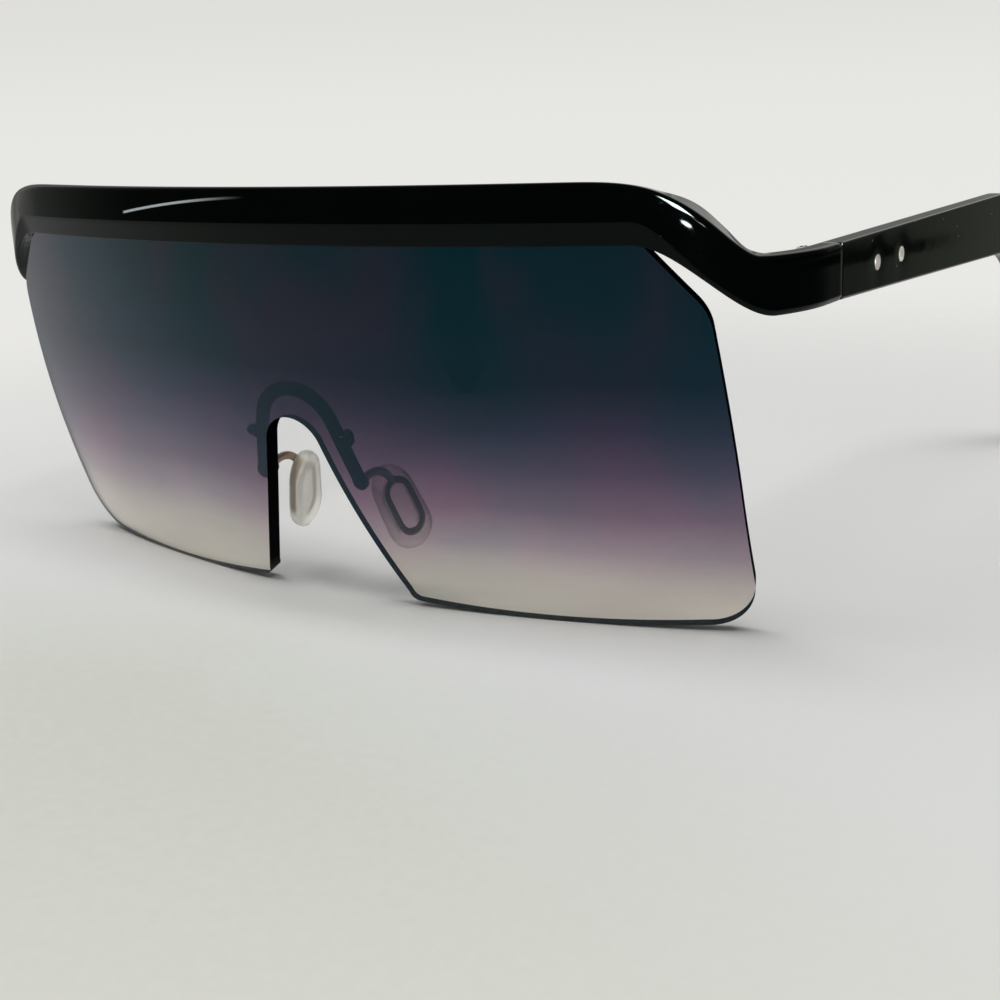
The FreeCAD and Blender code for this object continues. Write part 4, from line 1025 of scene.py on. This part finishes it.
# The background by height, and the reflected room by how far it lies on its bright side.
BACKGROUND = [(0.0, (0.815, 0.81, 0.785)), (0.6, (0.80, 0.80, 0.775)), (1.0, (0.735, 0.73, 0.71))]
BRIGHT_SIDE = (-0.75, 0.66, 0.0)
ROOM = [(0.0, (0.030, 0.034, 0.034)), (0.34, (0.06, 0.066, 0.058)), (0.46, (0.15, 0.16, 0.13)),
        (0.64, (0.36, 0.38, 0.35)), (0.74, (1.1, 1.1, 1.05)), (0.84, (0.50, 0.51, 0.49))]
STREAK_COLOUR = (0.004, 0.005, 0.005, 1.0)
STREAK_Z = -0.105
BEHIND_COLOUR = (0.21, 0.215, 0.205, 1.0)
WINDOW_WAY = (0.707, -0.707, 0.0)
WINDOW_Z = 0.36
BULB_WAY = (0.615, -0.788, -0.012)
BULB_FLAT = (1.0, 1.0, 3.5)
PATCH_COLOUR = (200.0, 190.0, 190.0, 1.0)
FILL_COLOUR = (0.98, 0.99, 1.0, 1.0)
FILL_STRENGTH = 0.15

SOFT_BOX_PLACE = (0.02, -0.54, 2.20)
SOFT_BOX_TARGET = (0.0, -0.05, 0.0)
SOFT_BOX_LONG = 3.0
SOFT_BOX_WIDE = 1.2
SOFT_BOX_POWER = 40.0

CAMERA_PLACE = (0.14741, -0.242057, 0.07662)
CAMERA_RIGHT = (0.83888, 0.54264, -0.04271)
CAMERA_UP = (-0.10963, 0.24529, 0.96323)
CAMERA_BACK = (0.53316, -0.80335, 0.26526)


def floor():
    """A round pale floor that fades into the background with distance, and further out in reflections. Its
    colour is painted darker in front and lighter towards the back and the sides: painted light.
    """
    made, tree = material("floor_paper")
    place = own_place(tree)
    x, y, _ = parts(tree, place)
    # Painted light: the floor's colour grows lighter towards the back and towards both sides.
    aside = times(tree, math_node(tree, "ABSOLUTE", x), 0.35)
    back = spread(tree, math_node(tree, "ADD", y, aside), -0.17, 0.05, smooth_step=False)
    fibre = times(tree, spread(tree, noise(tree, place, 500.0, 4.0), 0.3, 0.7), 0.12)
    tone = mixed(tree, fibre, ramp(tree, back, FLOOR_TONE_AND_PAINTED_LIGHT), FLOOR_FIBRE)
    path = add(tree, "ShaderNodeLightPath").outputs
    straight = math_node(tree, "SUBTRACT", 1.0, path["Is Transmission Ray"])
    mirrored = times(tree, path["Is Glossy Ray"], straight)
    away = vector_math(tree, "LENGTH", place, output="Value")
    mirrored_away = vector_math(tree, "DISTANCE", place, MIRRORED_CENTRE, "Value")
    reach = add(tree, "ShaderNodeMix", {0: mirrored, 2: spread(tree, away, 0.08, 0.32, 1.0, 0.0),
                                        3: spread(tree, mirrored_away, 0.34, 0.48, 1.0, 0.0)}).outputs[0]
    shaded(made, Base_Color=tone, Roughness=0.9, Specular_IOR_Level=0.0, Alpha=reach)
    turn = full_turn(FLOOR_CORNERS)
    rim = FLOOR_RADIUS * np.stack([np.cos(turn), np.sin(turn), 0 * turn], axis=-1)
    mesh = bpy.data.meshes.new("floor")
    mesh.from_pydata(rim.tolist(), [], [list(range(FLOOR_CORNERS))])
    mesh.materials.append(made)
    piece = bpy.data.objects.new("floor", mesh)
    bpy.context.scene.collection.objects.link(piece)


def reflected_room(tree, way):
    """What gloss reflects: a dim room with a bright side, a dark streak, a dim and two bright patches."""
    x, y, z = parts(tree, way)
    room = ramp(tree, vector_math(tree, "DOT_PRODUCT", way, BRIGHT_SIDE, "Value"), ROOM)
    line = math_node(tree, "ABSOLUTE", math_node(tree, "ADD", z, -STREAK_Z))
    streak = times(tree, spread(tree, line, 0.013, 0.006), spread(tree, x, 0.28, 0.30))
    room = mixed(tree, streak, room, STREAK_COLOUR)
    band = times(tree, spread(tree, z, 0.05, 0.07), spread(tree, z, 0.14, 0.12))
    behind = times(tree, band, spread(tree, y, 0.90, 0.92))
    room = mixed(tree, behind, room, BEHIND_COLOUR)
    heading = vector_math(tree, "NORMALIZE", vector_math(tree, "MULTIPLY", way, (1.0, 1.0, 0.0)))
    rise = math_node(tree, "ABSOLUTE", math_node(tree, "SUBTRACT", z, WINDOW_Z))
    facing = vector_math(tree, "DOT_PRODUCT", heading, WINDOW_WAY, "Value")
    window = times(tree, spread(tree, facing, 0.972, 0.980), spread(tree, rise, 0.25, 0.20))
    aside = vector_math(tree, "MULTIPLY", vector_math(tree, "SUBTRACT", way, BULB_WAY), BULB_FLAT)
    bulb = spread(tree, vector_math(tree, "LENGTH", aside, output="Value"), 0.07, 0.055)
    return mixed(tree, math_node(tree, "MAXIMUM", window, bulb), room, PATCH_COLOUR)


def glow(tree, colour, strength=1.0):
    """Light from all round."""
    return add(tree, "ShaderNodeBackground", {"Color": colour, "Strength": strength}).outputs[0]


def surroundings():
    """Pale background for the eye and through the lens, a room for reflections and a soft fill."""
    world = bpy.data.worlds.new("studio")
    bpy.context.scene.world = world
    world.use_nodes = True
    tree = world.node_tree
    tree.nodes.clear()
    way = add(tree, "ShaderNodeTexCoord").outputs["Generated"]
    path = add(tree, "ShaderNodeLightPath").outputs
    seen = ramp(tree, spread(tree, parts(tree, way)[2], -0.14, 0.06, smooth_step=False), BACKGROUND)
    fill = glow(tree, FILL_COLOUR, FILL_STRENGTH)
    gloss = glow(tree, reflected_room(tree, way))
    lit = add(tree, "ShaderNodeMixShader", {0: path["Is Glossy Ray"], 1: fill, 2: gloss}).outputs[0]
    direct = math_node(tree, "MAXIMUM", path["Is Camera Ray"], path["Is Transmission Ray"])
    both = add(tree, "ShaderNodeMixShader", {0: direct, 1: lit, 2: glow(tree, seen)}).outputs[0]
    add(tree, "ShaderNodeOutputWorld", {"Surface": both})


def turned(right, up, back, place):
    """The placing of an object whose own axes point along three directions."""
    return Matrix.Translation(place) @ Matrix((right, up, back)).transposed().to_4x4()


def soft_box():
    """A large lamp overhead that faces the object, left out of reflections."""
    lamp = bpy.data.lights.new("soft_box", "AREA")
    lamp.shape = "RECTANGLE"
    lamp.size = SOFT_BOX_LONG
    lamp.size_y = SOFT_BOX_WIDE
    lamp.energy = SOFT_BOX_POWER
    back = (Vector(SOFT_BOX_PLACE) - Vector(SOFT_BOX_TARGET)).normalized()
    right = Vector((1.0, 0.0, 0.0))
    right = (right - back * right.dot(back)).normalized()
    item = bpy.data.objects.new("soft_box", lamp)
    item.matrix_world = turned(right, back.cross(right), back, SOFT_BOX_PLACE)
    item.visible_glossy = False
    bpy.context.scene.collection.objects.link(item)


def camera():
    """The photograph's view: to the wearer's left of the front, a little above it."""
    data = bpy.data.cameras.new("view")
    data.sensor_width = 36.0
    data.lens = 54.0
    data.clip_start = 0.01
    data.clip_end = 20.0
    item = bpy.data.objects.new("view", data)
    item.matrix_world = turned(CAMERA_RIGHT, CAMERA_UP, CAMERA_BACK, CAMERA_PLACE)
    bpy.context.scene.collection.objects.link(item)
    bpy.context.scene.camera = item


floor()
surroundings()
soft_box()
camera()
bpy.context.scene.view_settings.view_transform = "Standard"
